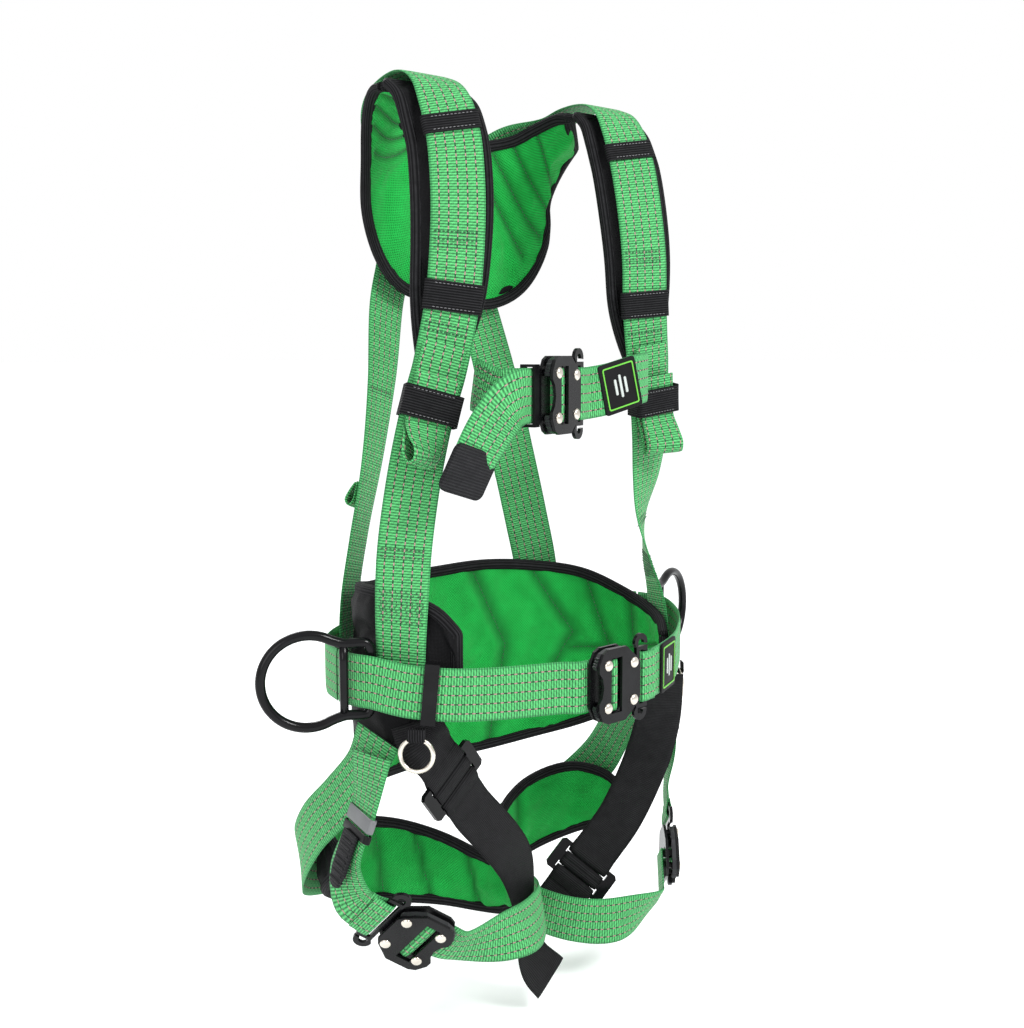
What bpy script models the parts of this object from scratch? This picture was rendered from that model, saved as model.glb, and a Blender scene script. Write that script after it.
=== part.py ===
"""Full-body tree climbing harness with a padded waist saddle.

The harness hangs as it does on a wearer who faces -Y: +Z is up, -X is the wearer's right side.
The origin is the centre of the wearer's waist at the middle of the belt's height. Lengths below are
in millimetres; MM turns them into Blender's metres.
"""

import math

import bmesh
import bpy
from mathutils import Matrix, Vector

MM = 0.001

# Webbing
WEB_WIDTH = 44.0
WEB_THICK = 2.0
LOOP_WIDTH = 36.0
LOOP_THICK = 1.8
TAG_WIDTH = 15.0
KEEPER_WIDTH = WEB_WIDTH + 1.6
KEEPER_WALL = 1.2
SLIDER_WIDTH = WEB_WIDTH + 1.4

# Waist belt, waist pad and the wearer's waist
BELT_A, BELT_B = 190.0, 122.0
PAD_A, PAD_B = 160.0, 110.0
PAD_FORWARD = 8.0
WAIST_PAD_THICK = 12.0
BELT_Z = -9.0
HIP_Z = 0.0
HIP_ANGLE = 96.6

# Shoulder and leg pads; a pad's rim is this share of its full thickness
PAD_RIM = 0.55
PAD_STEPS = 2
YOKE_THICK = 9.0
SHOULDER_PAD_DROP = 10.5
LEG_PAD_THICK = 10.0

# Forged D-rings
D_BAR = 4.2
D_SLOT = 22.0
D_SLOT_HALF = 29.0
D_ARC_CENTRE = 51.0
D_ARC_RADIUS = 38.0
DORSAL_D_SIZE = 0.84

# Wire gear rings
GEAR_RING_RADIUS = 13.5
GEAR_RING_WIRE = 2.0

# Quick-connect buckle, in its own frame: X towards the tongue, -Y the front face, Z across the webbing
PLATE_THICK = 2.6
PLATE_GAP = 7.8
RIVET_RISE = 1.3
WINDOW_X = (-14.0, -1.0)
WINDOW_HALF = 23.4
BAR_X = (-10.0, -5.0)
RIVETS = ((-18.0, 18.0), (-18.0, -18.0), (14.0, 16.0), (14.0, -16.0))
LATCH_PIVOT = (14.0, 16.0)
POST_RADIUS = 2.9
HEAD_RADIUS = 4.6
TONGUE_THICK = 3.0
WEB_BEHIND = 9.0


# ---------------------------------------------------------------- scene and materials


def clear_scene():
    for obj in list(bpy.data.objects):
        bpy.data.objects.remove(obj, do_unlink=True)


def material(name, colour, roughness, metallic=0.0):
    mat = bpy.data.materials.new(name)
    mat.use_nodes = True
    shader = mat.node_tree.nodes["Principled BSDF"]
    shader.inputs["Base Color"].default_value = (*colour, 1.0)
    shader.inputs["Roughness"].default_value = roughness
    shader.inputs["Metallic"].default_value = metallic
    return mat


FINISHES = {
    "webbing": ((0.05, 0.42, 0.13), 0.75, 0.0),
    "black_webbing": ((0.012, 0.012, 0.014), 0.7, 0.0),
    "elastic": ((0.015, 0.015, 0.017), 0.8, 0.0),
    "lining": ((0.02, 0.45, 0.09), 0.8, 0.0),
    "black_metal": ((0.012, 0.012, 0.014), 0.25, 0.6),
    "nickel": ((0.75, 0.72, 0.68), 0.2, 1.0),
    "grey_plastic": ((0.08, 0.08, 0.09), 0.5, 0.0),
    "black_plastic": ((0.015, 0.015, 0.016), 0.45, 0.0),
}


def add_object(name, bm, finish, matrix=None):
    """Put a bmesh in millimetres into the scene as one named object of its own material."""
    bmesh.ops.recalc_face_normals(bm, faces=bm.faces)
    bm.transform(Matrix.Scale(MM, 4))
    mesh = bpy.data.meshes.new(name)
    bm.to_mesh(mesh)
    bm.free()
    mesh.shade_smooth()
    mesh.set_sharp_from_angle(angle=math.radians(35))
    mesh.materials.append(material(name + "_finish", *FINISHES[finish]))
    obj = bpy.data.objects.new(name, mesh)
    bpy.context.scene.collection.objects.link(obj)
    return put(obj, matrix) if matrix is not None else obj


def put(obj, placed):
    """Move an object built at the origin to its place."""
    moved = placed.copy()
    moved.translation = placed.translation * MM
    obj.matrix_world = moved
    return obj


def bake(obj):
    """Apply an object's modifiers, then drop the helper objects that they used."""
    graph = bpy.context.evaluated_depsgraph_get()
    mesh = bpy.data.meshes.new_from_object(obj.evaluated_get(graph))
    obj.modifiers.clear()
    obj.data = mesh


def boolean(obj, helper, operation):
    mod = obj.modifiers.new(operation.lower(), "BOOLEAN")
    mod.object = helper
    mod.operation = operation
    mod.solver = "EXACT"
    bake(obj)
    bpy.data.objects.remove(helper, do_unlink=True)


def tidy_mesh(mesh):
    """Split a mesh into sound triangles before it is turned to its place."""
    bm = bmesh.new()
    bm.from_mesh(mesh)
    bmesh.ops.triangulate(bm, faces=bm.faces[:])
    bmesh.ops.dissolve_degenerate(bm, dist=1e-6, edges=bm.edges[:])
    bm.to_mesh(mesh)
    bm.free()


def frame(origin, x_axis, y_axis):
    """A placement whose X and Y axes follow the two given directions."""
    x = Vector(x_axis).normalized()
    z = x.cross(Vector(y_axis)).normalized()
    y = z.cross(x)
    matrix = Matrix((x, y, z)).transposed().to_4x4()
    matrix.translation = Vector(origin)
    return matrix


# ---------------------------------------------------------------- routes and sweeps


def catmull(points, steps):
    """Points along a smooth curve through vectors of any length whose first three are a place."""
    rows = [[float(value) for value in point] for point in points]
    rows.insert(0, [2 * a - b for a, b in zip(rows[0], rows[1])])
    rows.append([2 * a - b for a, b in zip(rows[-1], rows[-2])])
    gaps = [max(math.dist(a[:3], b[:3]), 0.01) ** 0.5 for a, b in zip(rows, rows[1:])]
    result = []
    for i in range(1, len(rows) - 2):
        before, gap, after = gaps[i - 1:i + 2]
        for k in range(steps):
            t = k / steps
            point = []
            for p0, p1, p2, p3 in zip(*rows[i - 1:i + 3]):
                leave = gap * ((p1 - p0) / before - (p2 - p0) / (before + gap)) + p2 - p1
                arrive = gap * ((p3 - p2) / after - (p3 - p1) / (gap + after)) + p2 - p1
                value = (2 * t ** 3 - 3 * t * t + 1) * p1 + (t ** 3 - 2 * t * t + t) * leave
                point.append(value + (3 * t * t - 2 * t ** 3) * p2 + (t ** 3 - t * t) * arrive)
            result.append(point)
    result.append(rows[-2])
    return result


def stations(route, steps):
    """Positions, width directions and face normals along a route of (x, y, z, wx, wy, wz)."""
    rows = catmull(route, steps)
    places = [Vector(r[:3]) for r in rows]
    frames = []
    for i, row in enumerate(rows):
        ahead = places[min(i + 1, len(places) - 1)]
        behind = places[max(i - 1, 0)]
        run = (ahead - behind).normalized()
        across = Vector(row[3:6])
        across = (across - run * across.dot(run)).normalized()
        frames.append((places[i], across, run.cross(across).normalized()))
    return frames


def loft(bm, rings):
    """Join closed rings of equal size into a tube with flat ends."""
    rows = [[bm.verts.new(p) for p in ring] for ring in rings]
    count = len(rows[0])
    for a, b in zip(rows, rows[1:]):
        for k in range(count):
            bm.faces.new((a[k], a[(k + 1) % count], b[(k + 1) % count], b[k]))
    bm.faces.new(rows[0])
    bm.faces.new(list(reversed(rows[-1])))


def strap(name, route, finish="webbing", width=WEB_WIDTH, thick=WEB_THICK, steps=3):
    """A flat band of webbing along a route."""
    bm = bmesh.new()
    rings = []
    for place, across, normal in stations(route, steps):
        w, t = across * width / 2, normal * thick / 2
        rings.append([place - w - t, place + w - t, place + w + t, place - w + t])
    loft(bm, rings)
    return add_object(name, bm, finish)


def mirrored(route):
    """The same route on the wearer's other side."""
    return [(-r[0], r[1], r[2], -r[3], r[4], r[5]) for r in route]


def padded_sheet(name, edge_a, edge_b, thick, rows):
    """A soft pad between two edge routes: thickest along its middle and thinner at its rim."""
    side_a = [Vector(p) for p in catmull(edge_a, PAD_STEPS)]
    side_b = [Vector(p) for p in catmull(edge_b, PAD_STEPS)]
    last = len(side_a) - 1
    grid = [[a.lerp(b, j / rows) for j in range(rows + 1)] for a, b in zip(side_a, side_b)]

    def normal(i, j):
        along = grid[min(i + 1, last)][j] - grid[max(i - 1, 0)][j]
        over = grid[i][min(j + 1, rows)] - grid[i][max(j - 1, 0)]
        return along.cross(over).normalized()

    normals = [[normal(i, j) for j in range(rows + 1)] for i in range(last + 1)]
    bm = bmesh.new()
    skins = []
    for side in (1, -1):
        skin = []
        for i in range(last + 1):
            line = []
            for j in range(rows + 1):
                middle = math.sin(math.pi * j / rows)
                half = thick / 2 * (PAD_RIM + (1 - PAD_RIM) * middle)
                place = grid[i][j] + normals[i][j] * side * half
                line.append(bm.verts.new(place))
            skin.append(line)
        skins.append(skin)
    front, back = skins
    for i in range(last):
        for j in range(rows):
            bm.faces.new((front[i][j], front[i + 1][j], front[i + 1][j + 1], front[i][j + 1]))
            bm.faces.new((back[i][j], back[i][j + 1], back[i + 1][j + 1], back[i + 1][j]))
    rim_line = [(i, 0) for i in range(last)] + [(last, j) for j in range(rows)]
    rim_line += [(i, rows) for i in range(last, 0, -1)] + [(0, j) for j in range(rows, 0, -1)]
    for (i, j), (m, n) in zip(rim_line, rim_line[1:] + rim_line[:1]):
        bm.faces.new((front[i][j], back[i][j], back[m][n], front[m][n]))
    return add_object(name, bm, "lining")


def sleeve(name, centre, run, normal, width, depth, height, wall, finish):
    """A flat closed sleeve around webbing that runs along run and faces normal."""
    placed = frame(centre, run, normal)
    bm = bmesh.new()
    corners = ((-1, -1), (1, -1), (1, 1), (-1, 1))
    loops = []
    for x in (-height / 2, height / 2):
        for d, w in ((depth / 2 + wall, width / 2 + wall), (depth / 2, width / 2)):
            loops.append([bm.verts.new((x, sy * d, sz * w)) for sy, sz in corners])
    outer0, inner0, outer1, inner1 = loops
    for k in range(4):
        n = (k + 1) % 4
        bm.faces.new((outer0[k], outer0[n], outer1[n], outer1[k]))
        bm.faces.new((inner0[k], inner1[k], inner1[n], inner0[n]))
        bm.faces.new((outer0[k], inner0[k], inner0[n], outer0[n]))
        bm.faces.new((outer1[k], outer1[n], inner1[n], inner1[k]))
    return add_object(name, bm, finish, placed)


def sleeve_on(name, route, index, width, depth, height, wall, finish):
    """A sleeve centred on one point of a strap's route."""
    place, across, normal = stations(route, 1)[index]
    return sleeve(name, place, across.cross(normal), normal, width, depth, height, wall, finish)


def round_bar(path, radius, sides=10, closed=False):
    """A bmesh tube of round section along points in the XZ plane."""
    bm = bmesh.new()
    rings = []
    count = len(path)
    for i, (x, z) in enumerate(path):
        before = path[(i - 1) % count] if closed or i else path[i]
        after = path[(i + 1) % count] if closed or i < count - 1 else path[i]
        run = Vector((after[0] - before[0], 0, after[1] - before[1])).normalized()
        side = Vector((-run.z, 0, run.x))
        ring = []
        for k in range(sides):
            turn = 2 * math.pi * (k + 0.5) / sides
            offset = side * math.cos(turn) + Vector((0, 1, 0)) * math.sin(turn)
            ring.append(Vector((x, 0, z)) + offset * radius)
        rings.append(ring)
    if not closed:
        loft(bm, rings)
        return bm
    rows = [[bm.verts.new(p) for p in ring] for ring in rings]
    for a, b in zip(rows, rows[1:] + rows[:1]):
        for k in range(sides):
            bm.faces.new((a[k], a[(k + 1) % sides], b[(k + 1) % sides], b[k]))
    return bm


def arc(cx, cz, radius, start, end, count):
    """Points of an arc in the XZ plane, from one angle to another in degrees."""
    turns = [math.radians(start + (end - start) * k / count) for k in range(count + 1)]
    return [(cx + radius * math.cos(t), cz + radius * math.sin(t)) for t in turns]


def plate_mesh(outline, holes, y_low, y_high):
    """A flat plate in the XZ plane between two heights, with holes through it."""
    bm = bmesh.new()
    edges = []
    for loop in [outline] + holes:
        verts = [bm.verts.new((x, y_low, z)) for x, z in loop]
        edges += [bm.edges.new((a, b)) for a, b in zip(verts, verts[1:] + verts[:1])]
    bmesh.ops.triangle_fill(bm, use_beauty=True, use_dissolve=False, edges=edges)
    grown = bmesh.ops.extrude_face_region(bm, geom=list(bm.faces))
    moved = [v for v in grown["geom"] if isinstance(v, bmesh.types.BMVert)]
    bmesh.ops.translate(bm, verts=moved, vec=(0, y_high - y_low, 0))
    return bm


def box_mesh(low, high):
    bm = bmesh.new()
    bmesh.ops.create_cube(bm, size=1.0)
    for vert in bm.verts:
        vert.co = Vector([low[k] if vert.co[k] < 0 else high[k] for k in range(3)])
    return bm


def rectangle(x0, x1, half):
    return [(x0, -half), (x1, -half), (x1, half), (x0, half)]


# ---------------------------------------------------------------- quick-connect buckles

HALF_OUTLINE = ((22.0, 15.0), (19.0, 19.5), (4.0, 31.5), (-18.0, 31.5), (-24.0, 28.5), (-29.0, 19.0))
RECESS = ((-29.0, 13.0), (-25.0, 8.0), (-23.4, 0.0), (-25.0, -8.0), (-29.0, -13.0))


def plate_outline(recess):
    upper = list(HALF_OUTLINE)
    lower = [(x, -z) for x, z in reversed(upper)]
    return upper + (list(RECESS) if recess else []) + lower


def rivet_mesh(x, z, front, back):
    """A post through both plates with a low domed head in front, as one turned profile."""
    profile = [(POST_RADIUS, back), (POST_RADIUS, front + 0.6), (HEAD_RADIUS, front + 0.6)]
    profile += [(HEAD_RADIUS, front - 0.3), (HEAD_RADIUS * 0.72, front - RIVET_RISE * 0.8)]
    profile += [(HEAD_RADIUS * 0.3, front - RIVET_RISE)]
    bm = bmesh.new()
    rings = []
    for radius, y in profile:
        turns = [2 * math.pi * k / 12 for k in range(12)]
        rings.append([Vector((x + radius * math.cos(t), y, z + radius * math.sin(t))) for t in turns])
    loft(bm, rings)
    return bm


def buckle_housing(name, placed):
    """Two plates held apart by four rivets, with the webbing bar between their windows."""
    front, back = -PLATE_GAP / 2 - PLATE_THICK, PLATE_GAP / 2 + PLATE_THICK
    window = rectangle(*WINDOW_X, WINDOW_HALF)
    housing = add_object(name, plate_mesh(plate_outline(True), [window], front, front + PLATE_THICK),
                         "black_metal")
    pieces = [plate_mesh(plate_outline(False), [window], back - PLATE_THICK, back)]
    pieces += [rivet_mesh(x, z, front, back - 1.0) for x, z in RIVETS]
    spacer_low, spacer_high = WINDOW_HALF - 0.6, WINDOW_HALF + 1.8
    for low, high in ((spacer_low, spacer_high), (-spacer_high, -spacer_low)):
        pieces.append(box_mesh((BAR_X[0], front + 1.0, low), (BAR_X[1], back - 1.0, high)))
    pieces.append(box_mesh((BAR_X[0] + 0.4, -2.2, -WINDOW_HALF), (BAR_X[1] - 0.4, 2.2, WINDOW_HALF)))
    for bm in pieces:
        boolean(housing, add_object(name + "_tool", bm, "black_metal"), "UNION")
    tidy_mesh(housing.data)
    return put(housing, placed)


def buckle_tongue(name, placed):
    """The flat tongue: a blade, two shoulders with curled horns, and the bar its webbing turns on."""
    horn_x, horn_z, outer, inner = 28.5, 29.6, 8.2, 3.6
    horn = arc(horn_x, horn_z, outer, 180, -8, 10) + arc(horn_x, horn_z, inner, -8, 180, 6)
    upper = [(2.0, 6.0), (4.0, 8.6), (22.8, 8.6), (22.8, 26.0)] + horn
    upper += [(horn_x - inner, 26.6), (37.0, 26.6)]
    lower = [(x, -z) for x, z in reversed(upper)]
    bm = plate_mesh(upper + lower, [rectangle(26.2, 31.4, WINDOW_HALF)],
                    -TONGUE_THICK / 2, TONGUE_THICK / 2)
    return add_object(name, bm, "black_metal", placed)


def buckle_latch(name, placed, side):
    """A sprung latch lever with a ribbed finger grip; its origin is its rivet."""
    upper = [(17.0, 20.4), (12.0, 25.5), (4.0, 30.4), (-16.0, 31.0), (-24.0, 28.5)]
    for k in range(4):
        x, z = -26.4 - 1.0 * k, 25.6 - 2.2 * k
        upper += [(x, z), (x - 1.2, z - 0.6)]
    upper += [(-29.4, 15.6), (-22.6, 15.6), (-22.6, 21.6), (-18.0, 26.9), (2.0, 26.9), (8.4, 20.0)]
    ring = arc(LATCH_PIVOT[0], LATCH_PIVOT[1], 5.9, 160, 390, 9)
    outline = [(x - LATCH_PIVOT[0], side * (z - LATCH_PIVOT[1])) for x, z in upper + ring]
    eye = [(x, z) for x, z in arc(0, 0, POST_RADIUS + 0.3, 0, 330, 11)]
    bm = plate_mesh(outline, [eye], -PLATE_GAP / 2 + 0.3, 0.4)
    pivot = Matrix.Translation(Vector((LATCH_PIVOT[0], 0, side * LATCH_PIVOT[1])))
    return add_object(name, bm, "grey_plastic", placed @ pivot)


def buckle(name, placed):
    buckle_housing(name + "_buckle_housing", placed)
    buckle_tongue(name + "_buckle_tongue", placed)
    buckle_latch(name + "_buckle_latch_a", placed, 1)
    buckle_latch(name + "_buckle_latch_b", placed, -1)


BUCKLES = {
    "chest": frame((-50, -110, 231), (0.955, 0.297, 0.0), (-0.297, 0.955, 0.0)),
    "waist": frame((-14, -141, BELT_Z), (1, 0.0, 0), (0, 1, 0)),
    "right_leg": frame((-168, -54, -210), (-0.74, 0.40, 0.54), (0.62, 0.62, 0.45)),
    "left_leg": frame((160, -58, -226), (0.38, 0.39, 0.84), (-0.72, 0.69, 0.0)),
}


def on_buckle(name, x, y, z=0.0):
    """A point given in a buckle's own frame, as x, y, z of the harness."""
    return tuple(BUCKLES[name] @ Vector((x, y, z)))


def across_buckle(name, sign=1):
    """The direction of a buckle's webbing bar."""
    return tuple(BUCKLES[name].col[2].to_3d() * sign)


# ---------------------------------------------------------------- D-rings and gear rings


def d_ring(name, placed, size=1.0):
    """A forged D with a rectangular webbing slot; its origin is the middle of the slot."""
    mid = D_SLOT / 2
    rim = arc(D_ARC_CENTRE - mid, 0, D_ARC_RADIUS, 118, -118, 18)
    corner = [(-mid, D_SLOT_HALF * 0.8), (-mid + 3, D_SLOT_HALF), (mid, D_SLOT_HALF + 1)]
    path = corner + rim + [(x, -z) for x, z in reversed(corner)] + [(-mid, 0.0)]
    path = [(x * size, z * size) for x, z in path]
    ring = add_object(name, round_bar(path, D_BAR, 8, closed=True), "black_metal")
    reach = (D_SLOT_HALF + 1) * size
    bar = round_bar([(mid * size, -reach), (mid * size, reach)], D_BAR * 0.86, 8)
    boolean(ring, add_object(name + "_tool", bar, "black_metal"), "UNION")
    tidy_mesh(ring.data)
    return put(ring, placed)


def gear_ring(name, placed):
    """A round wire ring that hangs from its tag; its origin is the top of the wire."""
    path = [(x, z - GEAR_RING_RADIUS) for x, z in arc(0, 0, GEAR_RING_RADIUS, 90, -250, 17)]
    return add_object(name, round_bar(path, GEAR_RING_WIRE, 8, closed=True), "nickel", placed)


# ---------------------------------------------------------------- waist


def belt_point(angle, a=BELT_A, b=BELT_B):
    """A point of the waist ellipse; 0 is the middle of the back, 90 the wearer's left hip."""
    turn = math.radians(angle)
    return a * math.sin(turn), b * math.cos(turn)


def waist_pad():
    """The padded waist band, open at the front; the wings narrow towards their ends."""
    heights = {
        -126: (40, -14), -118: (58, -24), -105: (68, -46), -85: (70, -86), -62: (66, -112),
        -40: (58, -124), -20: (57, -130), 0: (57, -131), 20: (58, -131), 40: (54, -124),
        62: (46, -111), 85: (28, -88), 105: (16, -56), 118: (8, -36), 126: (0, -24),
    }
    top, bottom = [], []
    for angle, (high, low) in heights.items():
        x, y = belt_point(angle, PAD_A, PAD_B)
        top.append((x, y - PAD_FORWARD, high))
        bottom.append((x, y - PAD_FORWARD, low))
    return padded_sheet("waist_pad", top, bottom, WAIST_PAD_THICK, 6)


def upright(points, across=(0, 0, 1)):
    return [(*p, *across) for p in points]


def hip_point(side, angle, height=HIP_Z):
    """A point of the belt on one side, -1 for the wearer's right."""
    x, y = belt_point(angle)
    return (side * x, y, height)


def belts():
    """The belt webbing: behind the pad from hip to hip, then forward to each half of the buckle."""
    back = [(*belt_point(angle), HIP_Z) for angle in range(-84, 85, 14)]
    strap("belt_back", upright(back), steps=2)
    right = [hip_point(-1, angle) for angle in (85, 91, HIP_ANGLE, 103)]
    right += [(-171, -54, -4.5), (-157.5, -68.5, -6.5), (-142, -81.5, -8), (-116, -96, BELT_Z)]
    right += [(-86, -111, BELT_Z), (-60, -123, BELT_Z)] + [on_buckle("waist", -38, WEB_BEHIND + 1.0)]
    right += [on_buckle("waist", x, WEB_BEHIND) for x in (-27, -14, -2)]
    strap("belt_right", upright(right), steps=2)
    sleeve_on("belt_slider", upright(right), 5, SLIDER_WIDTH, WEB_THICK + 3.0, 12.0, 2.4,
              "black_plastic")
    left = [on_buckle("waist", 37.8, 0.0), (52, -133, BELT_Z), (90, -116, BELT_Z), (124, -94, BELT_Z)]
    left += [(150, -75, -7), (171, -54, -4.5)] + [hip_point(1, angle) for angle in (103, HIP_ANGLE, 91, 85)]
    strap("belt_left", upright(left), steps=2)


HIP_SWING = {"right": 30.0, "left": 19.0}


def hip_d_rings():
    for side, sign in (("right", -1), ("left", 1)):
        turn = math.radians(HIP_SWING[side])
        outward = Vector((sign * math.cos(turn), math.sin(turn), 0))
        facing = Vector((outward.y, -outward.x, 0)) * sign
        d_ring(side + "_hip_d_ring", frame(hip_point(sign, HIP_ANGLE, HIP_Z + 1.5), outward, facing))


GEAR_RING_TOP = (167.0, -62.0, -43.0)
GEAR_RING_OUT = (0.78, -0.62, 0.0)
TAG_HEIGHTS = (9.8, 6.0, 2.6)


def gear_rings():
    """A wire ring under each side of the belt, with the short tag that carries it."""
    for side, sign in (("right", -1), ("left", 1)):
        top = Vector((sign * GEAR_RING_TOP[0], *GEAR_RING_TOP[1:]))
        outward = Vector((sign * GEAR_RING_OUT[0], *GEAR_RING_OUT[1:]))
        along = Vector((-outward.y, outward.x, 0))
        gear_ring(side + "_gear_ring", frame(top, along, -outward))
        strap(side + "_gear_ring_tag", [(*(top + Vector((0, 0, h))), *along) for h in TAG_HEIGHTS],
              "elastic", width=TAG_WIDTH, thick=LOOP_THICK, steps=1)


# ---------------------------------------------------------------- shoulders and back

RIGHT_SHOULDER = [
    (-100, 48, 480, 1.0, 0.0, 0.0), (-105, 24, 489, 1.0, 0.0, 0.0), (-108, -2, 491, 1.0, 0.0, 0.0),
    (-108, -22, 482, 0.95, -0.25, 0.0), (-109, -36, 464, 0.85, -0.5, 0.0),
    (-110, -43.5, 447, 0.82, -0.56, 0.0), (-111, -49, 430, 0.8, -0.6, 0.0), (-114, -56, 390, 0.8, -0.6, 0.0),
    (-117, -58, 350, 0.8, -0.6, 0.0), (-120, -56, 309, 0.8, -0.6, 0.0),
    (-125, -54, 280, 0.8, -0.6, 0.0), (-132, -52, 250, 0.8, -0.6, 0.0),
]
LEFT_SHOULDER = [
    (100, 48, 480, 1.0, 0.0, 0.0), (105, 24, 489, 1.0, 0.0, 0.0), (108, -2, 491, 1.0, 0.0, 0.0),
    (108, -22, 482, 0.97, -0.2, 0.0), (108, -34.5, 464, 0.93, -0.35, 0.0),
    (108.3, -41, 447, 0.92, -0.39, 0.0), (109, -46, 430, 0.91, -0.42, 0.0),
    (111, -53, 390, 0.91, -0.42, 0.0),
    (114, -56, 350, 0.91, -0.42, 0.0), (118, -54, 309, 0.91, -0.42, 0.0),
    (123, -52, 280, 0.92, -0.38, 0.0), (129, -50, 250, 0.95, -0.3, 0.0),
]
RIGHT_FRONT = RIGHT_SHOULDER + [
    (-141, -50, 222, 0.86, -0.5, 0.0), (-151, -49, 186, 0.86, -0.5, 0.0),
    (-158, -47, 149, 0.84, -0.54, 0.0), (-163, -44, 105, 0.76, -0.64, 0.0),
    (-164, -41, 60, 0.58, -0.81, 0.0), (-163.5, -39, 25, 0.44, -0.9, 0.0),
    (-163, -38.5, -5, 0.42, -0.907, 0.0), (-163, -38.5, -26, 0.42, -0.907, 0.0),
]
LEFT_FRONT = LEFT_SHOULDER + [
    (134, -47, 222, 0.97, -0.2, 0.0), (140, -43, 186, 0.98, -0.1, 0.0),
    (145, -36, 149, 0.98, 0.1, 0.0), (150, -27, 105, 0.84, 0.5, 0.0),
    (157, -28, 64, 0.62, 0.78, 0.0), (162, -35, 28, 0.46, 0.88, 0.0),
    (163, -38.5, -5, 0.42, 0.907, 0.0), (163, -38.5, -26, 0.42, 0.907, 0.0),
]
TO_DORSAL = [(-26, 116, 424), (-52, 108, 438), (-80, 84, 462)]


def shoulder_straps():
    """The long webbing from the dorsal plate over each shoulder and down behind the belt."""
    across = ((0.45, 0.1, 0.89), (0.6, 0.2, 0.75), (0.85, 0.2, 0.4))
    rear = [(*p, *w) for p, w in zip(TO_DORSAL, across)]
    strap("right_front_strap", rear + RIGHT_FRONT, steps=2)
    strap("left_front_strap", [(-x, y, z, wx, -wy, -wz) for x, y, z, wx, wy, wz in rear] + LEFT_FRONT,
          steps=2)


def shoulder_pads():
    """The pad under each front strap, from the top of the shoulder to a blunt point."""
    taper = [1, 1, 1, 1, 1, 1, 0.97, 0.9, 0.72, 0.42]
    for side, route, reach in (("right", RIGHT_SHOULDER, (35, 27)), ("left", LEFT_SHOULDER, (33, 29))):
        edges = ([], [])
        for (place, across, normal), share in zip(stations(route, 1)[2:], taper):
            inside = place - normal * SHOULDER_PAD_DROP
            edges[0].append(tuple(inside - across * reach[0] * share))
            edges[1].append(tuple(inside + across * reach[1] * share))
        padded_sheet(side + "_shoulder_pad", *edges, YOKE_THICK, 4)


def yoke():
    """The padded yoke across the shoulder blades: a neckline edge and a lobed outer edge."""
    neck = [(-80, 4, 480), (-79, 22, 482), (-76, 46, 476), (-67, 70, 466), (-42, 86, 460), (-20, 92, 457)]
    outer = [(-141, 4, 478), (-138, 22, 477), (-128, 44, 460), (-114, 64, 428), (-104, 77, 385),
             (-82, 86, 346), (-52, 92, 322)]
    neck_line = neck + [(0, 94, 457)] + [(-x, y, z) for x, y, z in reversed(neck)]
    left = [(-x, y, z) for x, y, z in reversed(outer)]
    left[:4] = [(66, 93, 310), (98, 84, 328), (117, 74, 368), (112, 66, 412)]
    outer_line = outer + [(0, 96, 312)] + left
    return padded_sheet("yoke_back_pad", neck_line, outer_line, YOKE_THICK, 6)


RIGHT_BACK = [
    (-25, 120, 404, 0.9, 0.0, 0.4), (-42, 112, 352, 0.93, 0.1, 0.36), (-56, 108, 312, 0.93, 0.18, 0.3),
    (-72, 97, 240, 0.9, 0.3, 0.25), (-88, 92, 168, 0.86, 0.42, 0.22), (-106, 90, 100, 0.84, 0.48, 0.2),
    (-118, 88, 48, 0.85, 0.5, 0.1), (-121, 87, 10, 0.869, 0.494, 0.0),
    (-121.5, 86.5, -28, 0.869, 0.494, 0.0),
]


def back_straps():
    strap("right_back_strap", RIGHT_BACK, steps=2)
    strap("left_back_strap", mirrored(RIGHT_BACK), steps=2)


def dorsal_fittings():
    """The plate where the straps cross behind the yoke, and the D-ring that hangs on it."""
    outline = arc(0, 20, 34, 20, 160, 8) + arc(0, -20, 34, 200, 340, 8)
    slots = [[(x, z + shift) for x, z in rectangle(-24, 24, 3.0)] for shift in (24, -24)]
    bm = plate_mesh(outline, slots, -1.5, 1.5)
    add_object("dorsal_plate", bm, "black_plastic", frame((0, 128, 420), (1, 0, 0), (0, 1, 0)))
    d_ring("dorsal_d_ring", frame((0, 144.5, 414), (0, 0.3, -0.954), (0, 0.954, 0.3)), DORSAL_D_SIZE)


def keepers():
    """Elastic sleeves that hold the webbing to the shoulder pads."""
    for side, route in (("right", RIGHT_FRONT), ("left", LEFT_FRONT)):
        for place, index, height in (("upper", 5, 16.0), ("lower", 9, 24.0)):
            sleeve_on(side + "_shoulder_keeper_" + place, route, index, KEEPER_WIDTH,
                      WEB_THICK + 2.6, height, KEEPER_WALL, "elastic")


# Height above the keeper, distance off the strap, half opening and turn about the strap, along a loop
LOOP_SHAPE = [
    (52, 9.0, -3.5, 0), (20, 9.0, -4.0, 0), (-10, 9.0, -4.0, 0), (-16, 9.2, -4.0, 3),
    (-28, 15.5, -5.0, 22), (-38, 20.0, -6.5, 42), (-45, 20.5, -5.0, 50), (-49, 20.5, 0.0, 52),
    (-45, 20.5, 5.0, 50), (-38, 20.0, 6.5, 42), (-28, 15.5, 5.0, 22), (-16, 9.4, 4.4, 3),
    (-10, 9.0, 4.4, 0), (4, 9.0, 4.4, 0), (24, 9.0, 4.2, 0),
]
LOOP_TURN = {"right": 1.0, "left": -0.4}


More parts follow.
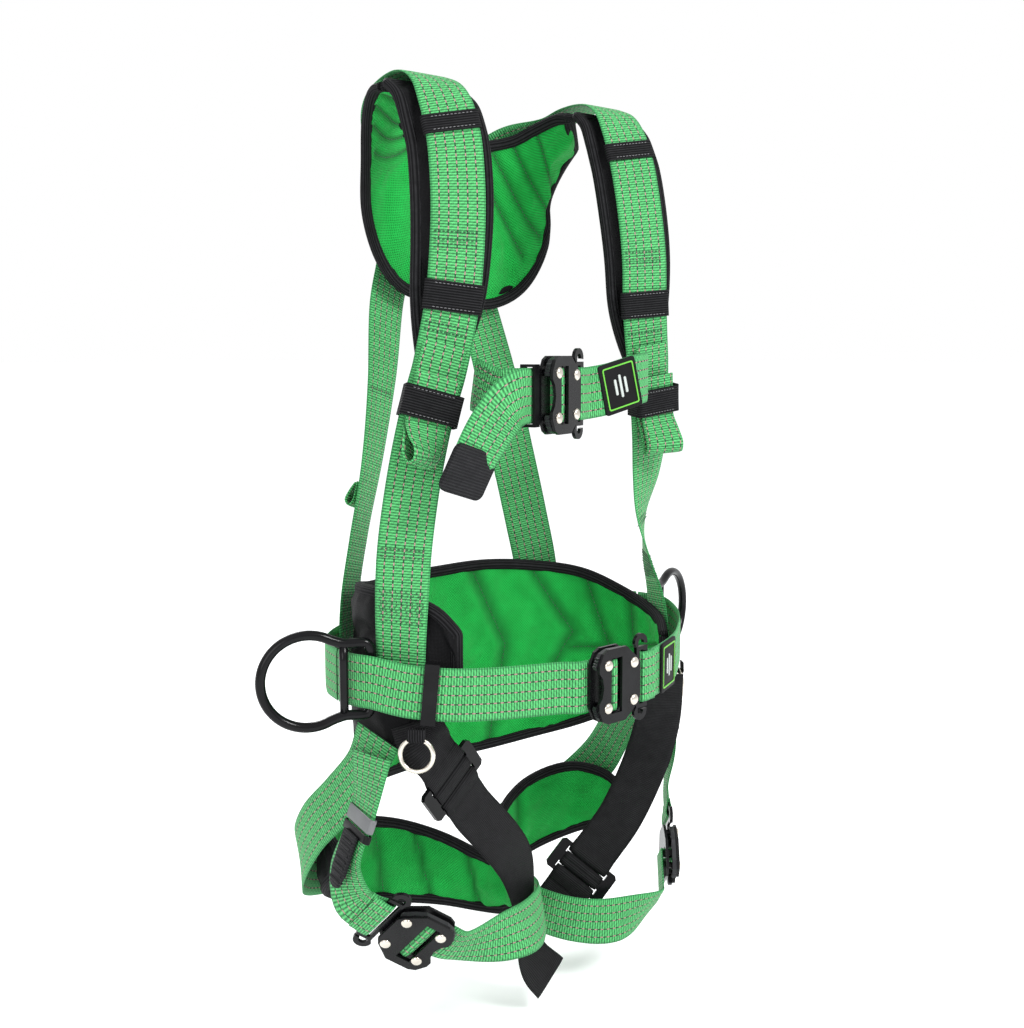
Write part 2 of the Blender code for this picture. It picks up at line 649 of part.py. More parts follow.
def chest_loops():
    """Webbing loops parked against the front straps by an elastic keeper, open below it."""
    for side, route in (("right", RIGHT_FRONT), ("left", LEFT_FRONT)):
        place, across, face = stations(route, 1)[12]
        up = face.cross(across)
        points = []
        for rise, out, gap, degrees in LOOP_SHAPE:
            turned = Matrix.Rotation(math.radians(degrees * LOOP_TURN[side]), 3, up)
            points.append((*(place + up * rise + face * out + turned @ face * gap), *(turned @ across)))
        strap(side + "_chest_loop", points, width=LOOP_WIDTH, thick=LOOP_THICK, steps=2)
        sleeve(side + "_chest_loop_keeper", place + face * 6.4, up, face, KEEPER_WIDTH, 19.2, 25.0,
               KEEPER_WALL, "elastic")


# ---------------------------------------------------------------- chest strap


def chest_straps():
    """The chest strap with its quick-connect buckle, a slider and a hanging adjustment tail."""
    turn = across_buckle("chest")
    route = [(-109, -68, 240, *turn), (-112, -82, 236, *turn)]
    bent = [(-54, 32), (-50, 20), (-40, 14.6), (-30, 13.4), (-14, 13.4), (-2, 13.4)]
    route += [(*on_buckle("chest", x, y), *turn) for x, y in bent]
    strap("right_chest_strap", route, steps=2)
    tail = [(*on_buckle("chest", x, y), *turn) for x, y in ((-2, 9), (-16, 9), (-30, 9), (-39, 9), (-47, 9))]
    tail += [(-108, -117, 229, -0.34, 0.0, 0.94), (-117, -116, 224, -0.64, 0.05, 0.77)]
    tail += [(-124, -113, 215, -0.82, 0.1, 0.57), (-130, -108, 203, -0.88, 0.12, 0.46)]
    tail += [(-138, -100, 182, -0.92, 0.02, 0.4), (-145, -93, 160, -0.93, -0.06, 0.36)]
    strap("chest_tail_tab", tail, steps=2)
    axis, face = (BUCKLES["chest"].col[k].to_3d() for k in (0, 1))
    sleeve("chest_slider", on_buckle("chest", -34.0, 11.6), axis, face,
           SLIDER_WIDTH, 9.0, 8.4, 2.2, "black_plastic")
    route = [on_buckle("chest", 39.5, 0.0), on_buckle("chest", 50, 0.6), (22, -96, 234)]
    route += [(48, -99, 240), (76, -92, 243), (94, -76, 243), (103, -57, 242)]
    strap("left_chest_strap", [(*p, 0, 0, 1) for p in route], steps=2)


# ---------------------------------------------------------------- risers


def ladder_frame(name, centre, run, normal):
    """An adjuster frame with two webbing slots."""
    outline = [(-16, -30), (-13, -33), (13, -33), (16, -30), (16, 30), (13, 33), (-13, 33), (-16, 30)]
    slots = [rectangle(-11.5, -5.5, 23.5), rectangle(5.5, 11.5, 23.5)]
    bm = plate_mesh(outline, slots, -2.0, 2.0)
    return add_object(name, bm, "black_metal", frame(centre, run, normal))


def risers():
    """Black webbing from the belt to the inner thighs, adjusted by a ladder frame."""
    run = Vector((0.62, 0.08, -0.78)).normalized()
    face = Vector((-0.35, -0.80, 0.48))
    centre = Vector((-123, -55, -89))
    across = tuple(face.cross(run).normalized())
    upper = [(-158, -51, -33, 0.6, -0.8, 0.0), (-154, -55, -48, 0.7, -0.55, 0.35)]
    upper += [(*(centre - run * d), *across) for d in (34.0, 26.0, 18.5)]
    strap("right_riser_upper", upper, "black_webbing", steps=2)
    ladder_frame("right_riser_adjuster", centre, run, face)
    lower = [(*(centre + run * d), *across) for d in (18.5, 28.0, 42.0)]
    lower += [(-66, -56, -158, *across), (-42, -50, -188, 0.85, 0.1, 0.5)]
    lower += [(-28, -44, -222, 0.84, 0.3, 0.25), (-23, -40, -258, 0.84, 0.4, 0.1)]
    lower += [(-12, -42, -290, 0.9, 0.2, 0.3), (4, -47, -310, 0.8, 0.0, 0.6)]
    strap("right_riser_lower", lower, "black_webbing", steps=2)

    run = Vector((-0.60, 0.26, -0.75)).normalized()
    face = Vector((-0.62, -0.72, 0.24))
    centre = Vector((82, -12, -238))
    across = tuple(face.cross(run).normalized())
    upper = [(134, -67, -42, 0.8, -0.45, -0.25), (139, -59, -88, 0.7, -0.5, -0.4)]
    upper += [(138, -43, -138, *across), (120, -29, -188, *across)]
    upper += [(*(centre - run * d), *across) for d in (36.0, 27.0, 18.5)]
    strap("left_riser_upper", upper, "black_webbing", steps=3)
    ladder_frame("left_riser_adjuster", centre, run, face)
    lower = [(*(centre + run * d), *across) for d in (18.5, 28.0, 42.0)]
    strap("left_riser_lower", lower, "black_webbing", steps=2)


# ---------------------------------------------------------------- leg loops

RIGHT_LEG = [
    (-180, 28, -156, -176), (-175, 54, -146, -198), (-150, 84, -152, -224), (-106, 97, -166, -246),
    (-60, 93, -180, -258), (-22, 74, -198, -266), (-1, 42, -214, -269), (3, 14, -218, -264),
    (-2, -10, -222, -252),
]
LEFT_LEG = [
    (186, 18, -196, -214), (182, 44, -176, -228), (160, 76, -168, -242), (118, 95, -178, -256),
    (80, 92, -194, -266), (52, 74, -210, -274), (40, 48, -224, -280), (38, 22, -238, -278),
]


def leg_pad(name, outline):
    top = [(x, y, high) for x, y, high, low in outline]
    bottom = [(x, y, low) for x, y, high, low in outline]
    return padded_sheet(name, top, bottom, LEG_PAD_THICK, 5)


def right_leg():
    leg_pad("right_leg_pad", RIGHT_LEG)
    bar, back = across_buckle("right_leg"), across_buckle("right_leg", -1)
    route = [(-173, -20, -48, 0.3, -0.95, 0.0), (-178, -8, -76, 0.1, -0.95, -0.2)]
    route += [(-188, 16, -108, 0.0, -0.85, -0.5), (-195, 44, -138, -0.1, -0.6, -0.8)]
    route += [(-190, 70, -172, -0.1, -0.4, -0.9), (-163, 94, -200, 0, 0, -1), (-108, 108, -216, 0, 0, -1)]
    route += [(-56, 104, -226, 0, 0, -1), (-12, 82, -236, 0, 0, -1), (13, 44, -242, 0, 0, -1)]
    route += [(14, 0, -243, 0, 0, -1), (4, -30, -240, 0.1, 0, -1), (-18, -57, -234, 0.15, -0.1, -1)]
    route += [(-62, -79, -231, 0.1, -0.3, -0.95)]
    route += [(*on_buckle("right_leg", x, y), *bar) for x, y in ((-44, 11), (-28, 9), (-14, 9), (-2, 9))]
    strap("right_leg_strap", route, steps=2)
    route = [(-186, -28, -60, 0.1, -0.99, 0.0), (-194, -27, -104, -0.2, -0.95, 0.1)]
    route += [(-209, -22, -150, 0.0, -0.85, 0.45)]
    route += [(*on_buckle("right_leg", x, y), *back) for x, y in ((56, 4), (39.8, 0))]
    strap("right_leg_front_strap", route, steps=3)


def left_leg():
    leg_pad("left_leg_pad", LEFT_LEG)
    back = across_buckle("left_leg", -1)
    route = [(173, -20, -48, -0.3, -0.95, 0.0), (179, 2, -82, -0.1, -0.95, -0.2)]
    route += [(188, 36, -124, 0.0, -0.8, -0.6), (188, 64, -166, 0.1, -0.5, -0.86)]
    route += [(166, 90, -198, 0, 0, -1), (118, 107, -216, 0, 0, -1), (70, 104, -230, 0, 0, -1)]
    route += [(36, 80, -242, 0, 0, -1), (26, 44, -252, 0, 0, -1), (27, 4, -262, 0, 0, -1)]
    route += [(48, -38, -270, 0, 0, -1), (82, -62, -272, 0, 0, -1)]
    route += [(*on_buckle("left_leg", x, y), *back) for x, y in ((-44, 11), (-28, 9), (-14, 9), (-2, 9))]
    strap("left_leg_strap", route, steps=2)
    route = [(186, -25, -60, -0.35, -0.93, 0.0), (191, -28, -104, -0.42, -0.85, 0.2)]
    route += [(191, -31, -142, -0.52, -0.73, 0.4)]
    route += [(*on_buckle("left_leg", x, 0), *(-c for c in back)) for x in (62, 50, 39.8)]
    strap("left_leg_front_strap", route, steps=3)


def leg_loops():
    right_leg()
    left_leg()


def build():
    clear_scene()
    yoke()
    shoulder_pads()
    shoulder_straps()
    back_straps()
    dorsal_fittings()
    keepers()
    chest_loops()
    chest_straps()
    waist_pad()
    belts()
    hip_d_rings()
    gear_rings()
    risers()
    leg_loops()
    for name, placed in BUCKLES.items():
        buckle(name, placed)


build()
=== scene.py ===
"""Looks of the tree climbing harness: webbing, padding, binding, stitching and metal finishes."""

import math
import random

import bmesh
import bpy
from mathutils import Matrix, Vector


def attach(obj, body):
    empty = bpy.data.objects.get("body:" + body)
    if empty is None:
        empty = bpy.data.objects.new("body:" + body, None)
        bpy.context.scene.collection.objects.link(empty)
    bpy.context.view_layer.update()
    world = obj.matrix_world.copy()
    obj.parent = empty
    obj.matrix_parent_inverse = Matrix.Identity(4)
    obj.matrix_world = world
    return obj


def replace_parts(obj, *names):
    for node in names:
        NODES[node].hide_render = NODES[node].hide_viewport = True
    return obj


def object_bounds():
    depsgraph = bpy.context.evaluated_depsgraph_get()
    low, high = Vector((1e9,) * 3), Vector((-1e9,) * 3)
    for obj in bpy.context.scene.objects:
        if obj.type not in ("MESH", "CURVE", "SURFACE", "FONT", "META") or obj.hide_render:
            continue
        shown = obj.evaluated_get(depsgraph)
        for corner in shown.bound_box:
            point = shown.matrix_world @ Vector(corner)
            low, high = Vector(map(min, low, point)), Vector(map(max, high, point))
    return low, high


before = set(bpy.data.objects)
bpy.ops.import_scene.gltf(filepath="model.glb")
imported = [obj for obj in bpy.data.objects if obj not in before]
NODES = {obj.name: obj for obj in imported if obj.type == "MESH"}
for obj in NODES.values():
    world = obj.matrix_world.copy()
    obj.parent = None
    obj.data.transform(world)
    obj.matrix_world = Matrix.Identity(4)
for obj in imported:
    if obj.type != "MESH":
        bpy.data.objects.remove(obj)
CAD_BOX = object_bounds()
HARNESS = "harness"
MM = 0.001
random.seed(7)

# Webbing and buckle sizes in millimetres, as in the CAD
WEB_WIDTH = 44.0
WEB_THICK = 2.0
LOOP_WIDTH = 36.0
BELT_A, BELT_B = 190.0, 122.0
PAD_A, PAD_B = 160.0, 110.0
PAD_FORWARD = 8.0
WAIST_PAD_THICK = 12.0
BELT_Z = -9.0
HIP_ANGLE = 96.6
YOKE_THICK = 9.0
SHOULDER_PAD_DROP = 10.5
LEG_PAD_THICK = 10.0
WEB_BEHIND = 9.0
D_BAR = 4.2
D_SLOT = 22.0
D_SLOT_HALF = 29.0
D_ARC_CENTRE = 51.0
D_ARC_RADIUS = 38.0
RIVETS = ((-18.0, 18.0), (-18.0, -18.0), (14.0, 16.0), (14.0, -16.0))
PLATE_FACE = 6.5


# ---------------------------------------------------------------- camera, floor and light


def place_camera():
    data = bpy.data.cameras.new("camera")
    data.lens = 46.2
    data.sensor_width = 36.0
    cam = bpy.data.objects.new("camera", data)
    bpy.context.scene.collection.objects.link(cam)
    turn, fall = math.radians(44.0), math.radians(7.08)
    look = Vector((math.sin(turn) * math.cos(fall), math.cos(turn) * math.cos(fall), -math.sin(fall)))
    cam.location = (-0.827, -0.856, 0.267)
    cam.rotation_euler = look.to_track_quat("-Z", "Y").to_euler()
    bpy.context.scene.camera = cam


def area_light(name, place, target, size, power, colour=(1, 1, 1)):
    data = bpy.data.lights.new(name, "AREA")
    data.shape = "DISK"
    data.size = size
    data.energy = power
    data.color = colour
    lamp = bpy.data.objects.new(name, data)
    lamp.location = place
    aim = Vector(target) - Vector(place)
    lamp.rotation_euler = aim.to_track_quat("-Z", "Y").to_euler()
    bpy.context.scene.collection.objects.link(lamp)


def studio():
    world = bpy.data.worlds.new("studio")
    world.use_nodes = True
    world.node_tree.nodes["Background"].inputs[0].default_value = (1.0, 1.0, 1.0, 1.0)
    world.node_tree.nodes["Background"].inputs[1].default_value = 1.0
    bpy.context.scene.world = world
    bpy.context.scene.view_settings.view_transform = "Standard"
    area_light("key", (0.2, -2.3, 1.9), (0, 0, 0.1), 0.9, 62)
    area_light("fill", (-2.2, -0.9, 0.7), (0, 0, 0.0), 1.4, 16)
    area_light("rim", (0.4, 1.9, 1.4), (0, 0, 0.2), 1.0, 26)
    low = CAD_BOX[0][2] - 0.012
    bm = bmesh.new()
    bmesh.ops.create_grid(bm, x_segments=1, y_segments=1, size=60.0)
    mesh = bpy.data.meshes.new("floor")
    bm.to_mesh(mesh)
    bm.free()
    floor = bpy.data.objects.new("floor", mesh)
    floor.location.z = low
    bpy.context.scene.collection.objects.link(floor)
    mat = bpy.data.materials.new("floor")
    mat.use_nodes = True
    shader = mat.node_tree.nodes["Principled BSDF"]
    shader.inputs["Base Color"].default_value = (0.93, 0.94, 0.95, 1)
    shader.inputs["Roughness"].default_value = 1.0
    shader.inputs["Emission Color"].default_value = (1, 1, 1, 1)
    shader.inputs["Emission Strength"].default_value = 0.16
    mesh.materials.append(mat)


# ---------------------------------------------------------------- material nodes


class Nodes:
    """Small helper that writes node trees."""

    def __init__(self, name, roughness=0.6, metallic=0.0, sheen=0.0, coat=0.0, specular=0.5):
        self.mat = bpy.data.materials.new(name)
        self.mat.use_nodes = True
        self.tree = self.mat.node_tree
        self.shader = self.tree.nodes["Principled BSDF"]
        values = {"Roughness": roughness, "Metallic": metallic, "Sheen Weight": sheen,
                  "Coat Weight": coat, "Specular IOR Level": specular}
        for key, value in values.items():
            self.shader.inputs[key].default_value = value

    def node(self, kind, **values):
        made = self.tree.nodes.new(kind)
        for key, value in values.items():
            setattr(made, key, value)
        return made

    def link(self, a, b):
        self.tree.links.new(a, b)

    def feed(self, socket, value):
        if hasattr(value, "links"):
            self.link(value, socket)
        else:
            socket.default_value = value

    def math(self, operation, a, b=0.0, c=0.0):
        made = self.node("ShaderNodeMath", operation=operation)
        for socket, value in zip(made.inputs, (a, b, c)):
            self.feed(socket, value)
        return made.outputs[0]

    def weave(self):
        """The strap's or pad's own coordinates: across and along, in millimetres."""
        made = self.node("ShaderNodeUVMap", uv_map="weave")
        split = self.node("ShaderNodeSeparateXYZ")
        self.link(made.outputs[0], split.inputs[0])
        return (self.math("MULTIPLY", split.outputs[0], 1000.0),
                self.math("MULTIPLY", split.outputs[1], 1000.0))

    def place(self, scale):
        coords = self.node("ShaderNodeTexCoord")
        mapping = self.node("ShaderNodeMapping")
        mapping.inputs["Scale"].default_value = (scale, scale, scale)
        self.link(coords.outputs["Object"], mapping.inputs[0])
        return mapping.outputs[0]

    def noise(self, scale, detail=2.0):
        made = self.node("ShaderNodeTexNoise")
        made.inputs["Scale"].default_value = 1.0
        made.inputs["Detail"].default_value = detail
        self.link(self.place(scale), made.inputs["Vector"])
        return made.outputs["Fac"]

    def wave(self, value, period, phase=0.0):
        """0 to 1 along a value, once each period."""
        turned = self.math("MULTIPLY_ADD", value, 2 * math.pi / period, phase)
        return self.math("MULTIPLY_ADD", self.math("SINE", turned), 0.5, 0.5)

    def band(self, value, low, high):
        return self.math("MULTIPLY", self.math("GREATER_THAN", value, low), self.math("LESS_THAN", value, high))

    def mix(self, factor, a, b):
        made = self.node("ShaderNodeMix", data_type="RGBA")
        self.feed(made.inputs[0], factor)
        for socket, value in ((made.inputs[6], a), (made.inputs[7], b)):
            self.feed(socket, value if hasattr(value, "links") else (*value, 1.0))
        return made.outputs[2]

    def spread(self, value, low, high):
        made = self.node("ShaderNodeMapRange")
        self.link(value, made.inputs["Value"])
        made.inputs["To Min"].default_value = low
        made.inputs["To Max"].default_value = high
        return made.outputs[0]

    def bump(self, height, distance, strength=1.0):
        made = self.node("ShaderNodeBump")
        made.inputs["Strength"].default_value = strength
        made.inputs["Distance"].default_value = distance
        self.link(height, made.inputs["Height"])
        self.link(made.outputs[0], self.shader.inputs["Normal"])

    def colour(self, value):
        self.feed(self.shader.inputs["Base Color"], value)

    def rough(self, value):
        self.feed(self.shader.inputs["Roughness"], value)


def webbing_material():
    """Green webbing: fine ribs across, a selvedge, and five rows of pinkish dashes along it."""
    n = Nodes("green_webbing", 0.62, sheen=0.04, specular=0.3)
    across, along = n.weave()
    rib = n.wave(along, 2.3)
    cords = n.wave(across, 1.5, 0.4)
    twill = n.wave(n.math("ADD", along, n.math("MULTIPLY", across, 1.0)), 4.6)
    shade = n.math("MULTIPLY_ADD", twill, 0.18, n.math("MULTIPLY", rib, 0.7))
    blotch = n.noise(90.0, 3.0)
    shade = n.math("ADD", shade, n.math("MULTIPLY_ADD", blotch, 0.34, -0.17))
    green = n.mix(shade, (0.006, 0.10, 0.024), (0.11, 0.58, 0.18))
    lane = n.math("FRACT", n.math("MULTIPLY_ADD", across, 1 / 7.6, 0.5))
    dash = n.math("FRACT", n.math("MULTIPLY", along, 1 / 5.8))
    mask = n.math("MULTIPLY", n.band(lane, 0.43, 0.57), n.band(across, -19.0, 19.0))
    thread = n.mix(n.band(dash, 0.28, 0.72), (0.01, 0.045, 0.018), (0.35, 0.2, 0.195))
    with_dash = n.mix(mask, green, thread)
    edge = n.math("GREATER_THAN", n.math("ABSOLUTE", across), 20.6)
    n.colour(n.mix(n.math("MULTIPLY", edge, 0.45), with_dash, (0.01, 0.14, 0.04)))
    height = n.math("MULTIPLY_ADD", cords, 0.35, rib)
    n.bump(n.math("ADD", height, n.math("MULTIPLY", mask, 0.5)), 0.00045, 0.9)
    n.rough(n.spread(blotch, 0.5, 0.75))
    return n.mat


def black_webbing_material(name, rib_period=1.7, colour=(0.003, 0.003, 0.0035), light=(0.03, 0.03, 0.032),
                           rough=(0.45, 0.7)):
    n = Nodes(name, 0.6, specular=0.1)
    across, along = n.weave()
    rib = n.wave(along, rib_period)
    cords = n.wave(across, 1.3)
    blotch = n.noise(120.0, 3.0)
    shade = n.math("MULTIPLY", n.math("MULTIPLY_ADD", cords, 0.3, n.math("MULTIPLY", rib, 0.6)), blotch)
    n.colour(n.mix(shade, colour, light))
    n.bump(n.math("MULTIPLY_ADD", cords, 0.4, rib), 0.0004, 0.9)
    n.rough(n.spread(blotch, *rough))
    return n.mat


def elastic_material():
    """Black ribbed elastic and binding: close cords along its length."""
    n = Nodes("ribbed_elastic", 0.7, specular=0.08)
    across, along = n.weave()
    cords = n.wave(across, 2.1)
    weft = n.wave(along, 0.9)
    blotch = n.noise(150.0, 3.0)
    n.colour(n.mix(n.math("MULTIPLY", cords, n.math("ADD", blotch, 0.2)), (0.0025, 0.0025, 0.003),
                   (0.026, 0.026, 0.028)))
    n.bump(n.math("MULTIPLY_ADD", weft, 0.35, cords), 0.0005, 0.9)
    n.rough(n.spread(blotch, 0.6, 0.85))
    return n.mat


def lining_material():
    """Open green mesh lining: rows of small holes, with soft shade variation, and painted shade along its sewn
    channels.
    """
    n = Nodes("green_mesh_lining", 0.75, sheen=0.06, specular=0.15)
    across, along = n.weave()
    slant = n.math("ADD", across, along)
    other = n.math("SUBTRACT", across, along)
    holes = n.math("MULTIPLY", n.wave(slant, 2.7), n.wave(other, 2.7))
    blotch = n.noise(60.0, 4.0)
    base = n.mix(blotch, (0.004, 0.27, 0.035), (0.012, 0.46, 0.07))
    cloth = n.mix(n.math("MULTIPLY", holes, 0.75), base, (0.0015, 0.10, 0.014))
    # Painted shade: the lining colour is pulled towards near-black green where the sewn-channel attribute is high,
    # standing in for shade in the channel creases.
    painted_groove_shade = n.node("ShaderNodeAttribute", attribute_name="painted_groove_shade").outputs["Fac"]
    n.colour(n.mix(n.math("MULTIPLY", n.math("POWER", painted_groove_shade, 1.8), 0.6), cloth, (0.0006, 0.028, 0.004)))
    n.bump(n.math("SUBTRACT", 1.0, holes), 0.0006, 0.8)
    n.rough(n.spread(blotch, 0.62, 0.85))
    return n.mat


def shell_material():
    """Black woven outer fabric of the pads."""
    n = Nodes("black_pad_shell", 0.6, specular=0.08)
    across, along = n.weave()
    grid = n.math("MULTIPLY", n.wave(across, 1.1), n.wave(along, 1.1))
    blotch = n.noise(70.0, 4.0)
    n.colour(n.mix(n.math("MULTIPLY", grid, blotch), (0.003, 0.003, 0.0035), (0.022, 0.022, 0.024)))
    n.bump(grid, 0.0003, 0.8)
    n.rough(n.spread(blotch, 0.48, 0.72))
    return n.mat


def metal_material(name, colour, wear, metallic, low, high, specular=0.5, grain=700.0):
    """Coated or plated metal: cloudy gloss, fine grain and a few faint scuffs."""
    n = Nodes(name, low, metallic, specular=specular)
    cloud = n.noise(45.0, 4.0)
    fine = n.noise(grain, 2.0)
    n.colour(n.mix(n.math("POWER", cloud, 3.0), colour, wear))
    n.rough(n.spread(n.math("MULTIPLY_ADD", fine, 0.4, n.math("MULTIPLY", cloud, 0.6)), low, high))
    n.bump(fine, 0.00012, 0.35)
    return n.mat


def thread_material(name, colour):
    n = Nodes(name, 0.6, sheen=0.2)
    twist = n.noise(2500.0, 1.0)
    n.colour(n.mix(twist, tuple(c * 0.6 for c in colour), colour))
    n.bump(twist, 0.0002, 0.7)
    return n.mat


WEBBING = webbing_material()
BLACK_WEB = black_webbing_material("black_webbing")
TAB_FABRIC = black_webbing_material("dark_grey_tab", 2.4, (0.006, 0.006, 0.007), (0.04, 0.04, 0.043))
ELASTIC = elastic_material()
LINING = lining_material()
SHELL = shell_material()
BLACK_METAL = metal_material("black_gloss_coat", (0.002, 0.002, 0.0025), (0.012, 0.012, 0.014), 0.0, 0.1, 0.24,
                             specular=0.17)
SATIN_METAL = metal_material("black_satin_coat", (0.003, 0.003, 0.0035), (0.018, 0.018, 0.02), 0.1, 0.2, 0.36,
                             specular=0.17)
LATCH_METAL = metal_material("dark_grey_latch", (0.016, 0.017, 0.019), (0.07, 0.07, 0.075), 0.5, 0.24, 0.42)
NICKEL = metal_material("bright_nickel", (0.62, 0.57, 0.5), (0.82, 0.79, 0.73), 1.0, 0.14, 0.3)
PLASTIC = metal_material("black_moulded", (0.003, 0.003, 0.0035), (0.014, 0.014, 0.015), 0.0, 0.25, 0.42,
                         specular=0.14, grain=1400.0)
RUBBER = metal_material("black_rubber", (0.004, 0.004, 0.0045), (0.013, 0.013, 0.014), 0.0, 0.5, 0.7,
                        specular=0.12, grain=1500.0)
GREY_PLASTIC = metal_material("grey_moulded", (0.10, 0.105, 0.11), (0.2, 0.205, 0.21), 0.0, 0.3, 0.5,
                              grain=1200.0)
LIME = metal_material("lime_rubber", (0.10, 0.42, 0.03), (0.16, 0.52, 0.05), 0.0, 0.45, 0.6)
PALE = metal_material("pale_rubber", (0.42, 0.46, 0.44), (0.55, 0.58, 0.56), 0.0, 0.45, 0.6)
GREEN_THREAD = thread_material("green_thread", (0.01, 0.07, 0.025))
BLACK_THREAD = thread_material("black_thread", (0.03, 0.03, 0.032))
GREY_THREAD = thread_material("grey_thread", (0.2, 0.2, 0.21))


# ---------------------------------------------------------------- mesh helpers


def piece(name, verts, faces, mat, body=HARNESS, uvs=None, smooth=True, mats=None, choose=None):
    """A shown piece from vertices in millimetres, riding on a CAD body."""
    mesh = bpy.data.meshes.new(name)
    mesh.from_pydata([tuple(Vector(v) * MM) for v in verts], [], faces)
    for each in (mats or [mat]):
        mesh.materials.append(each)
    if choose:
        for poly, index in zip(mesh.polygons, choose):
            poly.material_index = index
    if uvs:
        layer = mesh.uv_layers.new(name="weave")
        flat = [c for face in uvs for uv in face for c in (uv[0] * MM, uv[1] * MM)]
        layer.data.foreach_set("uv", flat)
    mesh.polygons.foreach_set("use_smooth", [smooth] * len(mesh.polygons))
    mesh.update()
    obj = bpy.data.objects.new(name, mesh)
    bpy.context.scene.collection.objects.link(obj)
    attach(obj, body)
    return obj


def bevel(obj, width, segments=2, angle=30.0):
    mod = obj.modifiers.new("edge", "BEVEL")
    mod.width = width * MM
    mod.segments = segments
    mod.limit_method = "ANGLE"
    mod.angle_limit = math.radians(angle)
    mod.harden_normals = False
    return obj


def catmull(points, step=4.0, count=None):
    """Points along the smooth curve through the given ones, about one step apart."""
    rows = [[float(value) for value in point] for point in points]
    rows.insert(0, [2 * a - b for a, b in zip(rows[0], rows[1])])
    rows.append([2 * a - b for a, b in zip(rows[-1], rows[-2])])
    gaps = [max(math.dist(a[:3], b[:3]), 0.01) ** 0.5 for a, b in zip(rows, rows[1:])]
    result = []
    for i in range(1, len(rows) - 2):
        before, gap, after = gaps[i - 1:i + 2]
        steps = count or max(2, math.ceil(gap * gap / step))
        for k in range(steps):
            t = k / steps
            point = []
            for p0, p1, p2, p3 in zip(*rows[i - 1:i + 3]):
                leave = gap * ((p1 - p0) / before - (p2 - p0) / (before + gap)) + p2 - p1
                arrive = gap * ((p3 - p2) / after - (p3 - p1) / (gap + after)) + p2 - p1
                value = (2 * t ** 3 - 3 * t * t + 1) * p1 + (t ** 3 - 2 * t * t + t) * leave
                point.append(value + (3 * t * t - 2 * t ** 3) * p2 + (t ** 3 - t * t) * arrive)
            result.append(point)
    result.append(rows[-2])
    return result


def stations(route, step=4.0, count=None):
    """Places, width directions and face normals along a route of (x, y, z, wx, wy, wz)."""
    rows = catmull(route, step, count)
    places = [Vector(r[:3]) for r in rows]
    frames = []
    for i, row in enumerate(rows):
        run = (places[min(i + 1, len(places) - 1)] - places[max(i - 1, 0)]).normalized()
        across = Vector(row[3:6])
        across = (across - run * across.dot(run)).normalized()
        frames.append((places[i], across, run.cross(across).normalized()))
    return frames


BAND_COLUMNS = 9


def band(name, line, width=WEB_WIDTH, thick=WEB_THICK, mat=None, body=HARNESS, taper=None):
    """Webbing along stations, with soft edges and a weave map across and along it."""
    verts, faces, uvs, lengths = [], [], [], [0.0]
    for (a, _, _), (b, _, _) in zip(line, line[1:]):
        lengths.append(lengths[-1] + (b - a).length)
    profile = []
    for side in (1, -1):
        for k in range(BAND_COLUMNS):
            t = (k / (BAND_COLUMNS - 1) * 2 - 1) * side
            profile.append((math.copysign(1 - (1 - abs(t)) ** 1.25, t), side * (1 - abs(t) ** 6 * 0.72)))
    size = len(profile)
    for i, (place, across, normal) in enumerate(line):
        share = taper(lengths[i] / lengths[-1]) if taper else 1.0
        for t, h in profile:
            verts.append(place + across * (t * width / 2 * share) + normal * (h * thick / 2))
    for i in range(len(line) - 1):
        for k in range(size):
            n = (k + 1) % size
            faces.append((i * size + k, i * size + n, (i + 1) * size + n, (i + 1) * size + k))
            low, high = profile[k][0] * width / 2, profile[n][0] * width / 2
            uvs.append([(low, lengths[i]), (high, lengths[i]), (high, lengths[i + 1]), (low, lengths[i + 1])])
    for base in (0, (len(line) - 1) * size):
        ring = [base + k for k in range(size)]
        faces.append(tuple(ring if base else reversed(ring)))
        uvs.append([(0.0, 0.0)] * size)
    return piece(name, verts, faces, mat or WEBBING, body, uvs)


def tube(name, path, normals, half_out, half_up, mat, body=HARNESS, closed=True, sides=12, power=1.0):
    """A tube of oval section along a path; normals give the oval's short direction."""
    count = len(path)
    verts, faces, uvs = [], [], []
    length = 0.0
    lengths = []
    for i in range(count):
        lengths.append(length)
        length += (path[(i + 1) % count] - path[i]).length
    for i, place in enumerate(path):
        ahead = path[(i + 1) % count] if closed or i < count - 1 else path[i]
        behind = path[i - 1] if closed or i else path[i]
        run = (ahead - behind).normalized()
        up = normals[i] - run * normals[i].dot(run)
        up.normalize()
        out = run.cross(up)
        for k in range(sides):
            turn = 2 * math.pi * k / sides
            c, s = math.cos(turn), math.sin(turn)
            verts.append(place + out * (math.copysign(abs(c) ** power, c) * half_out)
                         + up * (math.copysign(abs(s) ** power, s) * half_up))
    around = math.pi * (half_out + half_up)
    for i in range(count if closed else count - 1):
        j = (i + 1) % count
        end = lengths[i] + (path[j] - path[i]).length
        for k in range(sides):
            n = (k + 1) % sides
            faces.append((i * sides + k, i * sides + n, j * sides + n, j * sides + k))
            u0, u1 = around * k / sides, around * (k + 1) / sides
            uvs.append([(u0, lengths[i]), (u1, lengths[i]), (u1, end), (u0, end)])
    if not closed:
        for base in (0, (count - 1) * sides):
            ring = [base + k for k in range(sides)]
            faces.append(tuple(ring if base else reversed(ring)))
            uvs.append([(0.0, 0.0)] * sides)
    return piece(name, verts, faces, mat, body, uvs)


